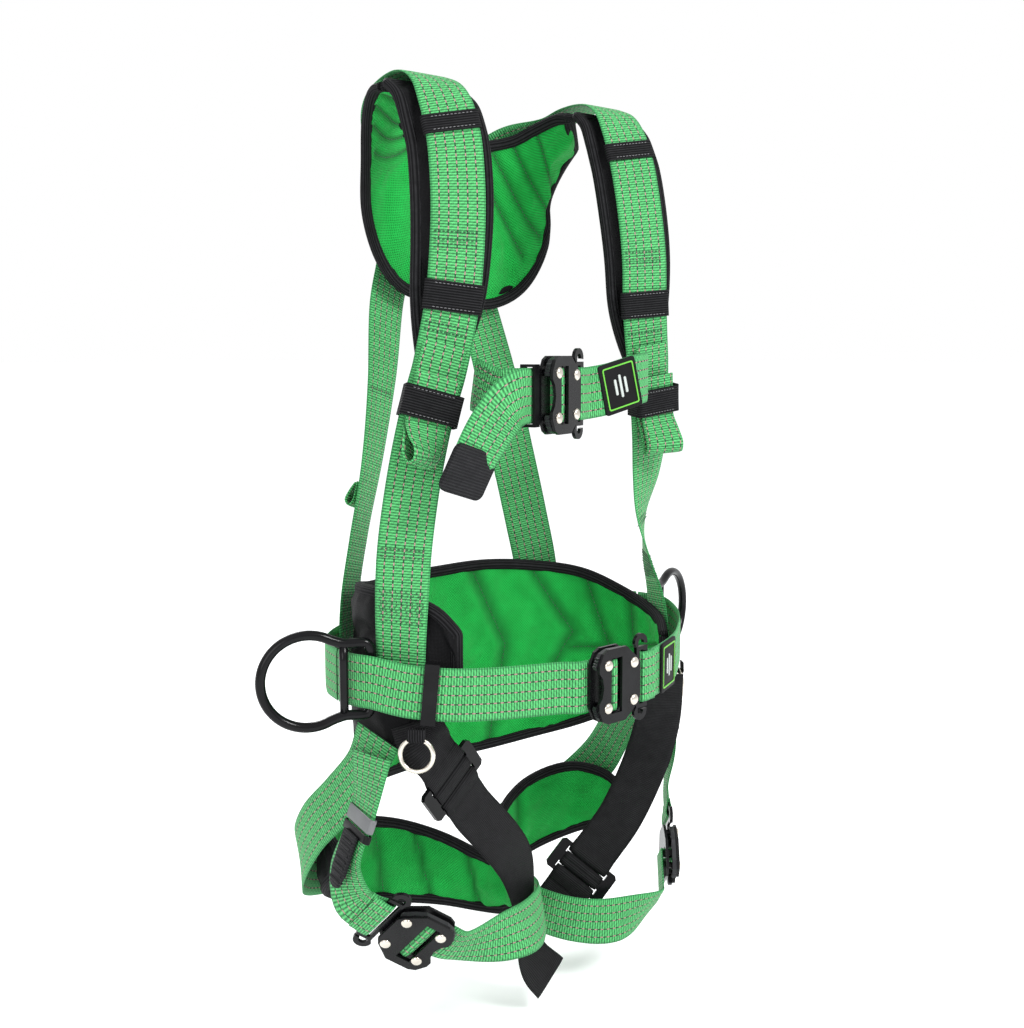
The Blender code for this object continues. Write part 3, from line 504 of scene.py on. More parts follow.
def stitches(name, runs, mat, size=0.45, length=2.6, gap=1.3, body=HARNESS):
    """Rows of sewn thread: each run is a list of (place, normal) on a surface."""
    verts, faces = [], []
    for run in runs:
        reach = [0.0]
        for (a, _), (b, _) in zip(run, run[1:]):
            reach.append(reach[-1] + (b - a).length)

        def at(distance):
            for k in range(len(run) - 1):
                if reach[k + 1] >= distance:
                    span = max(reach[k + 1] - reach[k], 1e-6)
                    t = (distance - reach[k]) / span
                    return run[k][0].lerp(run[k + 1][0], t), run[k][1].lerp(run[k + 1][1], t)
            return run[-1]

        start = gap / 2
        while start + length < reach[-1]:
            (a, up), (b, _) = at(start), at(start + length)
            ahead = (b - a).normalized()
            side = ahead.cross(up).normalized()
            rings = []
            for t, share in ((0.0, 0.35), (0.18, 1.0), (0.82, 1.0), (1.0, 0.35)):
                centre = a.lerp(b, t) + up * (0.25 * size if 0 < t < 1 else -0.5 * size)
                ring = []
                for k in range(5):
                    turn = 2 * math.pi * k / 5
                    ring.append(len(verts))
                    verts.append(centre + (side * math.cos(turn) + up * math.sin(turn)) * size * share)
                rings.append(ring)
            for p, q in zip(rings, rings[1:]):
                for k in range(5):
                    n = (k + 1) % 5
                    faces.append((p[k], p[n], q[n], q[k]))
            start += length + gap
    return piece(name, verts, faces, mat, body)


def slab(name, outline, low, high, placed, mat, edge=0.5, body=HARNESS, segments=2):
    """A flat part cut to an outline in its own XZ plane, with rounded edges."""
    verts = [placed @ Vector((x, low, z)) for x, z in outline]
    verts += [placed @ Vector((x, high, z)) for x, z in outline]
    count = len(outline)
    faces = [tuple(range(count)), tuple(reversed(range(count, 2 * count)))]
    faces += [(k, count + k, count + (k + 1) % count, (k + 1) % count) for k in range(count)]
    uvs = [[(outline[k % count][0], outline[k % count][1]) for k in face] for face in faces]
    obj = piece(name, verts, faces, mat, body, uvs)
    bm = bmesh.new()
    bm.from_mesh(obj.data)
    bmesh.ops.recalc_face_normals(bm, faces=bm.faces)
    bm.to_mesh(obj.data)
    bm.free()
    return bevel(obj, edge, segments)


def rounded(width, height, radius, steps=5):
    """A rounded rectangle about the origin."""
    points = []
    for cx, cz, start in ((1, 1, 0), (-1, 1, 90), (-1, -1, 180), (1, -1, 270)):
        for k in range(steps + 1):
            turn = math.radians(start + 90 * k / steps)
            points.append((cx * (width / 2 - radius) + radius * math.cos(turn),
                           cz * (height / 2 - radius) + radius * math.sin(turn)))
    return points


def axes(origin, x_axis, y_axis):
    """A placement whose X and Y axes follow the two given directions."""
    x = Vector(x_axis).normalized()
    z = x.cross(Vector(y_axis)).normalized()
    matrix = Matrix((x, z.cross(x), z)).transposed().to_4x4()
    matrix.translation = Vector(origin)
    return matrix


BUCKLES = {
    "chest": axes((-50, -110, 231), (0.955, 0.297, 0.0), (-0.297, 0.955, 0.0)),
    "waist": axes((-14, -141, BELT_Z), (1, 0.0, 0), (0, 1, 0)),
    "right_leg": axes((-168, -54, -210), (-0.74, 0.40, 0.54), (0.62, 0.62, 0.45)),
    "left_leg": axes((160, -58, -226), (0.38, 0.39, 0.84), (-0.72, 0.69, 0.0)),
}


def on_buckle(name, x, y, z=0.0):
    return tuple(BUCKLES[name] @ Vector((x, y, z)))


def bar_of(name, sign=1):
    return tuple(BUCKLES[name].col[2].to_3d() * sign)


# ---------------------------------------------------------------- webbing routes, as in the CAD


def belt_point(angle, a=BELT_A, b=BELT_B):
    turn = math.radians(angle)
    return a * math.sin(turn), b * math.cos(turn)


def upright(points, across=(0, 0, 1)):
    return [(*p, *across) for p in points]


def hip_point(side, angle):
    x, y = belt_point(angle)
    return (side * x, y, 0.0)


def mirrored(route):
    return [(-r[0], r[1], r[2], -r[3], r[4], r[5]) for r in route]


RIGHT_SHOULDER = [
    (-100, 48, 480, 1.0, 0.0, 0.0), (-105, 24, 489, 1.0, 0.0, 0.0), (-108, -2, 491, 1.0, 0.0, 0.0),
    (-108, -22, 482, 0.95, -0.25, 0.0), (-109, -36, 464, 0.85, -0.5, 0.0),
    (-110, -43.5, 447, 0.82, -0.56, 0.0), (-111, -49, 430, 0.8, -0.6, 0.0),
    (-114, -56, 390, 0.8, -0.6, 0.0), (-117, -58, 350, 0.8, -0.6, 0.0), (-120, -56, 309, 0.8, -0.6, 0.0),
    (-125, -54, 280, 0.8, -0.6, 0.0), (-132, -52, 250, 0.8, -0.6, 0.0),
]
LEFT_SHOULDER = [
    (100, 48, 480, 1.0, 0.0, 0.0), (105, 24, 489, 1.0, 0.0, 0.0), (108, -2, 491, 1.0, 0.0, 0.0),
    (108, -22, 482, 0.97, -0.2, 0.0), (108, -34.5, 464, 0.93, -0.35, 0.0),
    (108.3, -41, 447, 0.92, -0.39, 0.0), (109, -46, 430, 0.91, -0.42, 0.0),
    (111, -53, 390, 0.91, -0.42, 0.0), (114, -56, 350, 0.91, -0.42, 0.0), (118, -54, 309, 0.91, -0.42, 0.0),
    (123, -52, 280, 0.92, -0.38, 0.0), (129, -50, 250, 0.95, -0.3, 0.0),
]
RIGHT_FRONT = RIGHT_SHOULDER + [
    (-141, -50, 222, 0.86, -0.5, 0.0), (-151, -49, 186, 0.86, -0.5, 0.0),
    (-158, -47, 149, 0.84, -0.54, 0.0), (-163, -44, 105, 0.76, -0.64, 0.0),
    (-164, -41, 60, 0.58, -0.81, 0.0), (-163.5, -39, 25, 0.44, -0.9, 0.0),
    (-163, -38.5, -5, 0.42, -0.907, 0.0), (-163, -38.5, -26, 0.42, -0.907, 0.0),
]
LEFT_FRONT = LEFT_SHOULDER + [
    (134, -47, 222, 0.97, -0.2, 0.0), (140, -43, 186, 0.98, -0.1, 0.0),
    (145, -36, 149, 0.98, 0.1, 0.0), (150, -27, 105, 0.84, 0.5, 0.0),
    (157, -28, 64, 0.62, 0.78, 0.0), (162, -35, 28, 0.46, 0.88, 0.0),
    (163, -38.5, -5, 0.42, 0.907, 0.0), (163, -38.5, -26, 0.42, 0.907, 0.0),
]
REAR = [(-26, 116, 424, 0.45, 0.1, 0.89), (-52, 108, 438, 0.6, 0.2, 0.75), (-80, 84, 462, 0.85, 0.2, 0.4)]
REAR_LEFT = [(-x, y, z, wx, -wy, -wz) for x, y, z, wx, wy, wz in REAR]
RIGHT_BACK = [
    (-25, 120, 404, 0.9, 0.0, 0.4), (-42, 112, 352, 0.93, 0.1, 0.36), (-56, 108, 312, 0.93, 0.18, 0.3),
    (-72, 97, 240, 0.9, 0.3, 0.25), (-88, 92, 168, 0.86, 0.42, 0.22), (-106, 90, 100, 0.84, 0.48, 0.2),
    (-118, 88, 48, 0.85, 0.5, 0.1), (-121, 87, 10, 0.869, 0.494, 0.0), (-121.5, 86.5, -28, 0.869, 0.494, 0.0),
]


def belt_routes():
    back = upright([(*belt_point(angle), 0.0) for angle in range(-84, 85, 14)])
    right = [hip_point(-1, angle) for angle in (85, 91, HIP_ANGLE, 103)]
    right += [(-171, -54, -4.5), (-157.5, -68.5, -6.5), (-142, -81.5, -8), (-116, -96, BELT_Z)]
    right += [(-86, -111, BELT_Z), (-60, -123, BELT_Z), on_buckle("waist", -38, WEB_BEHIND + 1.0)]
    right += [on_buckle("waist", x, WEB_BEHIND) for x in (-27, -14, -2)]
    left = [on_buckle("waist", 43, 0.0), (52, -133, BELT_Z), (90, -116, BELT_Z), (124, -94, BELT_Z)]
    left += [(150, -75, -7), (171, -54, -4.5)] + [hip_point(1, angle) for angle in (103, HIP_ANGLE, 91, 85)]
    return back, upright(right), upright(left)


def chest_routes():
    turn = bar_of("chest")
    right = [(-109, -68, 240, *turn), (-112, -82, 236, *turn)]
    bent = [(-54, 32), (-50, 20), (-40, 14.6), (-30, 13.4), (-14, 13.4), (-2, 13.4)]
    right += [(*on_buckle("chest", x, y), *turn) for x, y in bent]
    tail = [(*on_buckle("chest", x, y), *turn) for x, y in ((-2, 9), (-16, 9), (-30, 9), (-39, 9), (-47, 9))]
    tail += [(-108, -117, 229, -0.34, 0.0, 0.94), (-117, -116, 224, -0.64, 0.05, 0.77)]
    tail += [(-124, -113, 215, -0.82, 0.1, 0.57), (-130, -108, 203, -0.88, 0.12, 0.46)]
    tail += [(-138, -100, 182, -0.92, 0.02, 0.4), (-145, -93, 160, -0.93, -0.06, 0.36)]
    left = [on_buckle("chest", 43, 0.0), on_buckle("chest", 50, 0.6), (22, -96, 234)]
    left += [(48, -99, 240), (76, -92, 243), (94, -76, 243), (103, -57, 242)]
    return right, tail, upright(left)


def riser_routes():
    result = {}
    run = Vector((0.62, 0.08, -0.78)).normalized()
    face = Vector((-0.35, -0.80, 0.48))
    centre = Vector((-123, -55, -89))
    across = tuple(face.cross(run).normalized())
    upper = [(-158, -51, -33, 0.6, -0.8, 0.0), (-154, -55, -48, 0.7, -0.55, 0.35)]
    upper += [(*(centre - run * d), *across) for d in (34.0, 26.0, 18.5)]
    lower = [(*(centre + run * d), *across) for d in (18.5, 28.0, 42.0)]
    lower += [(-66, -56, -158, *across), (-42, -50, -188, 0.85, 0.1, 0.5)]
    lower += [(-28, -44, -222, 0.84, 0.3, 0.25), (-23, -40, -258, 0.84, 0.4, 0.1)]
    lower += [(-12, -42, -290, 0.9, 0.2, 0.3), (4, -47, -310, 0.8, 0.0, 0.6)]
    result["right"] = (centre, run, face, upper, lower)
    run = Vector((-0.60, 0.26, -0.75)).normalized()
    face = Vector((-0.62, -0.72, 0.24))
    centre = Vector((82, -12, -238))
    across = tuple(face.cross(run).normalized())
    upper = [(134, -67, -42, 0.8, -0.45, -0.25), (139, -59, -88, 0.7, -0.5, -0.4)]
    upper += [(138, -43, -138, *across), (120, -29, -188, *across)]
    upper += [(*(centre - run * d), *across) for d in (36.0, 27.0, 18.5)]
    lower = [(*(centre + run * d), *across) for d in (18.5, 28.0, 42.0)]
    result["left"] = (centre, run, face, upper, lower)
    return result


def leg_routes():
    behind = ((-44, 11), (-28, 9), (-14, 9), (-2, 9))
    right = [(-173, -20, -48, 0.3, -0.95, 0.0), (-178, -8, -76, 0.1, -0.95, -0.2)]
    right += [(-188, 16, -108, 0.0, -0.85, -0.5), (-195, 44, -138, -0.1, -0.6, -0.8)]
    right += [(-190, 70, -172, -0.1, -0.4, -0.9), (-163, 94, -200, 0, 0, -1), (-108, 108, -216, 0, 0, -1)]
    right += [(-56, 104, -226, 0, 0, -1), (-12, 82, -236, 0, 0, -1), (13, 44, -242, 0, 0, -1)]
    right += [(14, 0, -243, 0, 0, -1), (4, -30, -240, 0.1, 0, -1), (-18, -57, -234, 0.15, -0.1, -1)]
    right += [(-62, -79, -231, 0.1, -0.3, -0.95)]
    right += [(*on_buckle("right_leg", x, y), *bar_of("right_leg")) for x, y in behind]
    right_front = [(-186, -28, -60, 0.1, -0.99, 0.0), (-194, -27, -104, -0.2, -0.95, 0.1)]
    right_front += [(-209, -22, -150, 0.0, -0.85, 0.45)]
    right_front += [(*on_buckle("right_leg", x, y), *bar_of("right_leg", -1)) for x, y in ((56, 4), (43, 0))]
    left = [(173, -20, -48, -0.3, -0.95, 0.0), (179, 2, -82, -0.1, -0.95, -0.2)]
    left += [(188, 36, -124, 0.0, -0.8, -0.6), (188, 64, -166, 0.1, -0.5, -0.86)]
    left += [(166, 90, -198, 0, 0, -1), (118, 107, -216, 0, 0, -1), (70, 104, -230, 0, 0, -1)]
    left += [(36, 80, -242, 0, 0, -1), (26, 44, -252, 0, 0, -1), (27, 4, -262, 0, 0, -1)]
    left += [(48, -38, -270, 0, 0, -1), (82, -62, -272, 0, 0, -1)]
    left += [(*on_buckle("left_leg", x, y), *bar_of("left_leg", -1)) for x, y in behind]
    left_front = [(186, -25, -60, -0.35, -0.93, 0.0), (191, -28, -104, -0.42, -0.85, 0.2)]
    left_front += [(191, -31, -142, -0.52, -0.73, 0.4)]
    left_front += [(*on_buckle("left_leg", x, 0), *bar_of("left_leg")) for x in (62, 50, 43)]
    return right, right_front, left, left_front


# ---------------------------------------------------------------- webbing pieces


def webbing():
    lines = {}
    back, right, left = belt_routes()
    chest_right, tail, chest_left = chest_routes()
    leg_right, leg_right_front, leg_left, leg_left_front = leg_routes()
    routes = {
        "belt_back": back, "belt_right": right, "belt_left": left,
        "right_front_strap": REAR + RIGHT_FRONT, "left_front_strap": REAR_LEFT + LEFT_FRONT,
        "right_back_strap": RIGHT_BACK, "left_back_strap": mirrored(RIGHT_BACK),
        "right_chest_strap": chest_right, "left_chest_strap": chest_left, "chest_tail_tab": tail,
        "right_leg_strap": leg_right, "right_leg_front_strap": leg_right_front,
        "left_leg_strap": leg_left, "left_leg_front_strap": leg_left_front,
    }
    for name, route in routes.items():
        lines[name] = stations(route)
        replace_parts(band(name + "_webbing", lines[name]), name)
    for side, (_, _, _, upper, lower) in riser_routes().items():
        for part, route in (("upper", upper), ("lower", lower)):
            node = f"{side}_riser_{part}"
            lines[node] = stations(route)
            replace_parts(band(node + "_webbing", lines[node], mat=BLACK_WEB), node)
    return lines


# Height above the keeper, distance off the strap, half opening and turn about the strap, along a loop
LOOP_SHAPE = [
    (52, 9.0, -3.5, 0), (20, 9.0, -4.0, 0), (-10, 9.0, -4.0, 0), (-16, 9.2, -4.0, 3),
    (-28, 15.5, -5.0, 22), (-38, 20.0, -6.5, 42), (-45, 20.5, -5.0, 50), (-49, 20.5, 0.0, 52),
    (-45, 20.5, 5.0, 50), (-38, 20.0, 6.5, 42), (-28, 15.5, 5.0, 22), (-16, 9.4, 4.4, 3),
    (-10, 9.0, 4.4, 0), (4, 9.0, 4.4, 0), (24, 9.0, 4.2, 0),
]
LOOP_TURN = {"right": 1.0, "left": -0.4}


def chest_loops():
    """The parked chest loops and their keepers."""
    for side, route in (("right", RIGHT_FRONT), ("left", LEFT_FRONT)):
        place, across, face = stations(route, count=1)[12]
        up = face.cross(across)
        points = []
        for rise, out, gap, degrees in LOOP_SHAPE:
            turned = Matrix.Rotation(math.radians(degrees * LOOP_TURN[side]), 3, up)
            points.append((*(place + up * rise + face * out + turned @ face * gap), *(turned @ across)))
        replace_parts(band(side + "_chest_loop_webbing", stations(points, 2.0), LOOP_WIDTH, 1.8), side + "_chest_loop")
        keeper(side + "_chest_loop_keeper", place + face * 6.4, up, face, 45.6, 19.2, 25.0, 1.3)


def keeper(node, centre, run, normal, width, depth, height, wall, mat=None):
    """An elastic sleeve with soft corners and a stitched seam at each end."""
    placed = axes(centre, run, normal)
    path, normals, columns = [], [], 44
    half_w, half_d = width / 2 + wall / 2, depth / 2 + wall / 2
    for y, z in rounded(2 * half_d, 2 * half_w, min(half_d, 3.4), 5):
        path.append(Vector((0, y, z)))
    verts, faces, uvs = [], [], []
    rows = 9
    count = len(path)
    reach = [0.0]
    for k in range(count):
        reach.append(reach[-1] + (path[(k + 1) % count] - path[k]).length)
    for skin in (wall / 2, -wall / 2):
        for i in range(rows + 1):
            x = (i / rows - 0.5) * height
            pinch = 0.35 * math.cos(math.pi * x / height)
            for k in range(count):
                ahead, behind = path[(k + 1) % count], path[k - 1]
                run_k = (ahead - behind).normalized()
                out = Vector((0, run_k.z, -run_k.y))
                if out.dot(path[k]) < 0:
                    out = -out
                local = path[k] + out * (skin - pinch * 0.4) + Vector((x, 0, 0))
                verts.append(placed @ local)
    offset = (rows + 1) * count
    for base, flip in ((0, False), (offset, True)):
        for i in range(rows):
            for k in range(count):
                n = (k + 1) % count
                quad = (base + i * count + k, base + i * count + n,
                        base + (i + 1) * count + n, base + (i + 1) * count + k)
                low, high = (i / rows) * height, ((i + 1) / rows) * height
                uv = [(low, reach[k]), (low, reach[k + 1]), (high, reach[k + 1]), (high, reach[k])]
                faces.append(tuple(reversed(quad)) if flip else quad)
                uvs.append(list(reversed(uv)) if flip else uv)
    for i in (0, rows):
        for k in range(count):
            n = (k + 1) % count
            faces.append((i * count + k, offset + i * count + k, offset + i * count + n, i * count + n))
            uvs.append([(0, reach[k]), (1, reach[k]), (1, reach[k + 1]), (0, reach[k + 1])])
    obj = piece(node + "_elastic", verts, faces, mat or ELASTIC, HARNESS, uvs)
    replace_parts(obj, node)
    runs = []
    up = placed.col[1].to_3d()
    for sign in (1, -1):
        for shift in (-height / 2 + 2.4, height / 2 - 2.4):
            line = []
            for k in range(9):
                z = (k / 8 - 0.5) * (width - 8)
                line.append((placed @ Vector((shift, sign * (half_d + wall / 2 + 0.05), z)), up * sign))
            runs.append(line)
    stitches(node + "_seam", runs, GREY_THREAD, 0.3, 2.0, 1.2)


def keepers():
    for side, route in (("right", RIGHT_FRONT), ("left", LEFT_FRONT)):
        for place_name, index, height in (("upper", 5, 16.0), ("lower", 9, 24.0)):
            place, across, normal = stations(route, count=1)[index]
            keeper(f"{side}_shoulder_keeper_{place_name}", place, across.cross(normal), normal,
                   45.6, 4.6, height, 1.2)


def find(line, target):
    """Index of the station nearest a place."""
    target = Vector(target)
    return min(range(len(line)), key=lambda i: (line[i][0] - target).length)


def sewn_band(name, line, first, last, rows, mat=GREEN_THREAD, width=WEB_WIDTH, zigzag=1.6):
    """Zigzag rows of thread along a stretch of webbing, on both faces."""
    runs = []
    last = min(last, len(line) - 1)
    for sign in (1, -1):
        for row in range(rows):
            z = ((row + 0.5) / rows - 0.5) * (width - 5)
            run = []
            for i in range(first, last + 1):
                place, across, normal = line[i]
                shift = zigzag * (1 if (i - first) % 2 else -1)
                run.append((place + across * (z + shift) + normal * sign * (WEB_THICK / 2 + 0.1), normal * sign))
            if len(run) > 1:
                runs.append(run)
    stitches(name, runs, mat, 0.42, 2.6, 0.9)


def cross_rows(name, line, index, count, mat=GREEN_THREAD, width=WEB_WIDTH, spacing=3.2):
    """Straight rows of thread across webbing, on both faces."""
    runs = []
    place, across, normal = line[index]
    run_dir = across.cross(normal)
    for sign in (1, -1):
        for k in range(count):
            shift = (k - (count - 1) / 2) * spacing
            run = []
            for step in range(9):
                z = (step / 8 - 0.5) * (width - 5)
                run.append((place + run_dir * shift + across * z + normal * sign * (WEB_THICK / 2 + 0.1),
                            normal * sign))
            runs.append(run)
    stitches(name, runs, mat, 0.42, 2.4, 0.9)


def sewing(lines):
    """The bar tacks and box seams of the webbing."""
    for side, sign in (("right", -1), ("left", 1)):
        line = lines[side + "_front_strap"]
        cross_rows(side + "_front_seam_top", line, find(line, (sign * 117, -57, 352)), 5)
        cross_rows(side + "_front_seam_mid", line, find(line, (sign * 124, -54, 284)), 3)
        cross_rows(side + "_front_seam_low", line, find(line, (sign * 160, -42, 104)), 3)
        start = find(line, (sign * 164, -41, 74))
        sewn_band(side + "_front_seam_box", line, start, start + 7, 9)
        line = lines[side + "_back_strap"]
        cross_rows(side + "_back_seam", line, find(line, (sign * 75, 96, 228)), 2)
        line = lines[side + "_leg_strap"]
        cross_rows(side + "_leg_seam", line, find(line, line[6][0]), 3)
    line = lines["right_chest_strap"]
    sewn_band("chest_seam", line, 1, 8, 9)
    line = lines["left_chest_strap"]
    cross_rows("chest_left_seam", line, len(line) - 4, 4)


# ---------------------------------------------------------------- pads


def padded_grid(edge_a, edge_b, along_step, rows):
    """Rows of places between two edge routes, and their normals."""
    side_a = [Vector(p) for p in catmull(edge_a, count=along_step)]
    side_b = [Vector(p) for p in catmull(edge_b, count=along_step)]
    grid = [[a.lerp(b, j / rows) for j in range(rows + 1)] for a, b in zip(side_a, side_b)]
    last = len(grid) - 1
    normals = []
    for i in range(last + 1):
        line = []
        for j in range(rows + 1):
            along = grid[min(i + 1, last)][j] - grid[max(i - 1, 0)][j]
            over = grid[i][min(j + 1, rows)] - grid[i][max(j - 1, 0)]
            line.append(along.cross(over).normalized())
        normals.append(line)
    return grid, normals


def nearest_on(lines, i, j):
    """Distance in grid units from a grid point to the nearest sewn line."""
    best = 99.0
    for line in lines:
        for (i0, j0), (i1, j1) in zip(line, line[1:]):
            di, dj = i1 - i0, j1 - j0
            span = di * di + dj * dj
            t = max(0.0, min(1.0, ((i - i0) * di + (j - j0) * dj) / span)) if span else 0.0
            best = min(best, math.hypot(i - i0 - t * di, j - j0 - t * dj))
    return best


def soft_pad(name, node, edge_a, edge_b, thick, along_step, rows, wearer_side, channels, rim=0.5,
             move_cap=4.0):
    """A quilted pad: green lining towards the wearer, black shell outside, inflated as cloth."""
    grid, normals = padded_grid(edge_a, edge_b, along_step, rows)
    last = len(grid) - 1
    lines = [[(u * last, v * rows) for u, v in line] for line in channels]
    channel = max(1.0, rows / 22)
    verts, pins, uv_of, grooves = [], [], [], []
    reach_u = [0.0]
    for i in range(last):
        middle = rows // 2
        reach_u.append(reach_u[-1] + (grid[i + 1][middle] - grid[i][middle]).length)
    for side in (1, -1):
        for i in range(last + 1):
            wide = (grid[i][rows] - grid[i][0]).length
            for j in range(rows + 1):
                edge = min(i, last - i, 2.0) / 2.0
                middle = max(0.0, math.sin(math.pi * j / rows)) ** 0.5 * (0.4 + 0.6 * edge)
                half = thick / 2 * (rim + (0.92 - rim) * middle)
                near = nearest_on(lines, i, j)
                dip = math.exp(-(near / channel) ** 2) if side == wearer_side else 0.0
                lift = half * (1 - 0.45 * dip)
                grooves.append(dip)
                verts.append(grid[i][j] + normals[i][j] * side * lift)
                inset = min(i, last - i, j, rows - j)
                pins.append((1.0, 0.97)[inset] if inset < 2 else 0.96 * dip)
                uv_of.append((wide * (j / rows - 0.5), reach_u[i]))
    size = (last + 1) * (rows + 1)

    def at(side, i, j):
        return (0 if side == 1 else size) + i * (rows + 1) + j

    faces, choose = [], []
    for side in (1, -1):
        for i in range(last):
            for j in range(rows):
                quad = (at(side, i, j), at(side, i + 1, j), at(side, i + 1, j + 1), at(side, i, j + 1))
                faces.append(quad if side == 1 else tuple(reversed(quad)))
                choose.append(0 if side == wearer_side else 1)
    loop = [(i, 0) for i in range(last)] + [(last, j) for j in range(rows)]
    loop += [(i, rows) for i in range(last, 0, -1)] + [(0, j) for j in range(rows, 0, -1)]
    for (i, j), (m, n) in zip(loop, loop[1:] + loop[:1]):
        faces.append((at(1, i, j), at(-1, i, j), at(-1, m, n), at(1, m, n)))
        choose.append(1)
    uvs = [[uv_of[k] for k in face] for face in faces]
    obj = piece(name, verts, faces, None, HARNESS, uvs, mats=[LINING, SHELL], choose=choose)
    inflate(obj, pins, move_cap)
    sink_channels(obj, grooves, normals, wearer_side, rows, size, thick * 0.11)
    sub = obj.modifiers.new("soft", "SUBSURF")
    sub.levels = sub.render_levels = 1
    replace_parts(obj, node)
    binding(name + "_binding", grid, normals, loop, thick * rim / 2 + 1.0)
    seam(name + "_quilting", obj, lines, wearer_side, rows, size, normals)
    return obj


def sink_channels(obj, grooves, normals, side, rows, size, depth):
    """Press the sewn channels into the puffed lining, and store them as an attribute that the lining material paints
    as shade.
    """
    base = 0 if side == 1 else size
    for k in range(size):
        i, j = divmod(k, rows + 1)
        if 0 < j < rows:
            obj.data.vertices[base + k].co -= normals[i][j] * side * grooves[base + k] * depth * MM
    marks = obj.data.attributes.new("painted_groove_shade", "FLOAT", "POINT")
    marks.data.foreach_set("value", grooves)


def inflate(obj, pins, cap):
    """Cloth under a little pressure, held along the rim and the sewn lines."""
    group = obj.vertex_groups.new(name="held")
    for index, weight in enumerate(pins):
        if weight > 0.02:
            group.add([index], weight, "REPLACE")
    cloth = obj.modifiers.new("cloth", "CLOTH")
    settings = cloth.settings
    settings.quality = 4
    settings.mass = 0.25
    settings.tension_stiffness = 18
    settings.compression_stiffness = 12
    settings.bending_stiffness = 0.8
    settings.vertex_group_mass = "held"
    settings.use_pressure = True
    settings.uniform_pressure_force = 3.0
    settings.shrink_min = -0.035
    settings.effector_weights.gravity = 0.0
    cloth.collision_settings.use_collision = False
    scene = bpy.context.scene
    for number in range(1, 21):
        scene.frame_set(number)
    graph = bpy.context.evaluated_depsgraph_get()
    shaped = obj.evaluated_get(graph).to_mesh()
    places = [v.co.copy() for v in shaped.vertices]
    obj.evaluated_get(graph).to_mesh_clear()
    obj.modifiers.remove(cloth)
    for vert, place in zip(obj.data.vertices, places):
        move = place - vert.co
        if move.length > cap * MM:
            move = move.normalized() * cap * MM
        vert.co += move
    obj.vertex_groups.clear()
    scene.frame_set(1)


def binding(name, grid, normals, loop, half_up):
    """Ribbed tape folded round a pad's edge."""
    last, rows = len(grid) - 1, len(grid[0]) - 1
    centre = sum((grid[i][j] for i in (last // 3, last // 2, 2 * last // 3) for j in (rows // 2,)),
                 Vector()) / 3
    path = [grid[i][j].copy() for i, j in loop]
    ups = [normals[i][j].copy() for i, j in loop]
    for _ in range(2):
        path = [(path[k - 1] + path[k] * 2 + path[(k + 1) % len(path)]) / 4 for k in range(len(path))]
        ups = [(ups[k - 1] + ups[k] * 2 + ups[(k + 1) % len(ups)]).normalized() for k in range(len(ups))]
    inner = []
    for k, place in enumerate(path):
        run = (path[(k + 1) % len(path)] - path[k - 1]).normalized()
        out = run.cross(ups[k])
        i, j = loop[k]
        inside = grid[min(max(i, 1), last - 1)][min(max(j, 1), rows - 1)]
        if out.dot(place - inside) < 0:
            out = -out
        inner.append(place - out * 2.6)
    tube(name, inner, ups, 5.4, half_up + 0.5, ELASTIC, sides=14, power=0.75)
    return centre


def seam(name, obj, lines, side, rows, size, normals):
    """Thread along the sewn lines of a pad's lining."""
    base = 0 if side == 1 else size
    coords = [v.co / MM for v in obj.data.vertices]
    runs = []
    last = size // (rows + 1) - 1

    def sample(u, v):
        i, j = min(int(u), last - 1), min(int(v), rows - 1)
        fu, fv = u - i, v - j
        corner = [coords[base + (i + a) * (rows + 1) + j + b] for a in (0, 1) for b in (0, 1)]
        place = corner[0].lerp(corner[1], fv).lerp(corner[2].lerp(corner[3], fv), fu)
        return place, normals[i][j] * side

    for line in lines:
        run = []
        for (u0, v0), (u1, v1) in zip(line, line[1:]):
            steps = max(2, int(math.hypot(u1 - u0, v1 - v0)))
            for k in range(steps + 1):
                t = k / steps
                place, up = sample(u0 + (u1 - u0) * t, v0 + (v1 - v0) * t)
                run.append((place + up * 0.2, up))
        runs.append(run)
    stitches(name, runs, GREEN_THREAD, 0.36, 2.6, 1.1)


def waist():
    heights = {
        -126: (40, -14), -118: (58, -24), -105: (68, -46), -85: (70, -86), -62: (66, -112),
        -40: (58, -124), -20: (57, -130), 0: (57, -131), 20: (58, -131), 40: (54, -124),
        62: (46, -111), 85: (28, -88), 105: (16, -56), 118: (8, -36), 126: (0, -24),
    }
    top, bottom = [], []
    for angle, (high, low) in heights.items():
        x, y = belt_point(angle, PAD_A, PAD_B)
        top.append((x, y - PAD_FORWARD, high))
        bottom.append((x, y - PAD_FORWARD, low))
    channels = [[(0.03, 0.5), (0.3, 0.5)], [(0.7, 0.5), (0.97, 0.5)]]
    for s in (-1, 1):
        channels += [[(0.5 + s * 0.05, 0.03), (0.5 + s * 0.1, 0.45), (0.5 + s * 0.075, 0.97)],
                     [(0.5 + s * 0.14, 0.03), (0.5 + s * 0.2, 0.4), (0.5 + s * 0.17, 0.62)],
                     [(0.5 + s * 0.22, 0.03), (0.5 + s * 0.26, 0.5), (0.5 + s * 0.24, 0.97)],
                     [(0.5 + s * 0.3, 0.03), (0.5 + s * 0.31, 0.5), (0.5 + s * 0.32, 0.97)]]
    soft_pad("waist_padding", "waist_pad", top, bottom, WAIST_PAD_THICK, 9, 38, INNER["waist"], channels)


YOKE_CHANNELS = ((0.14, 0.25, 0.78), (0.19, 0.31, 0.82), (0.25, 0.365, 0.84), (0.33, 0.42, 0.84))


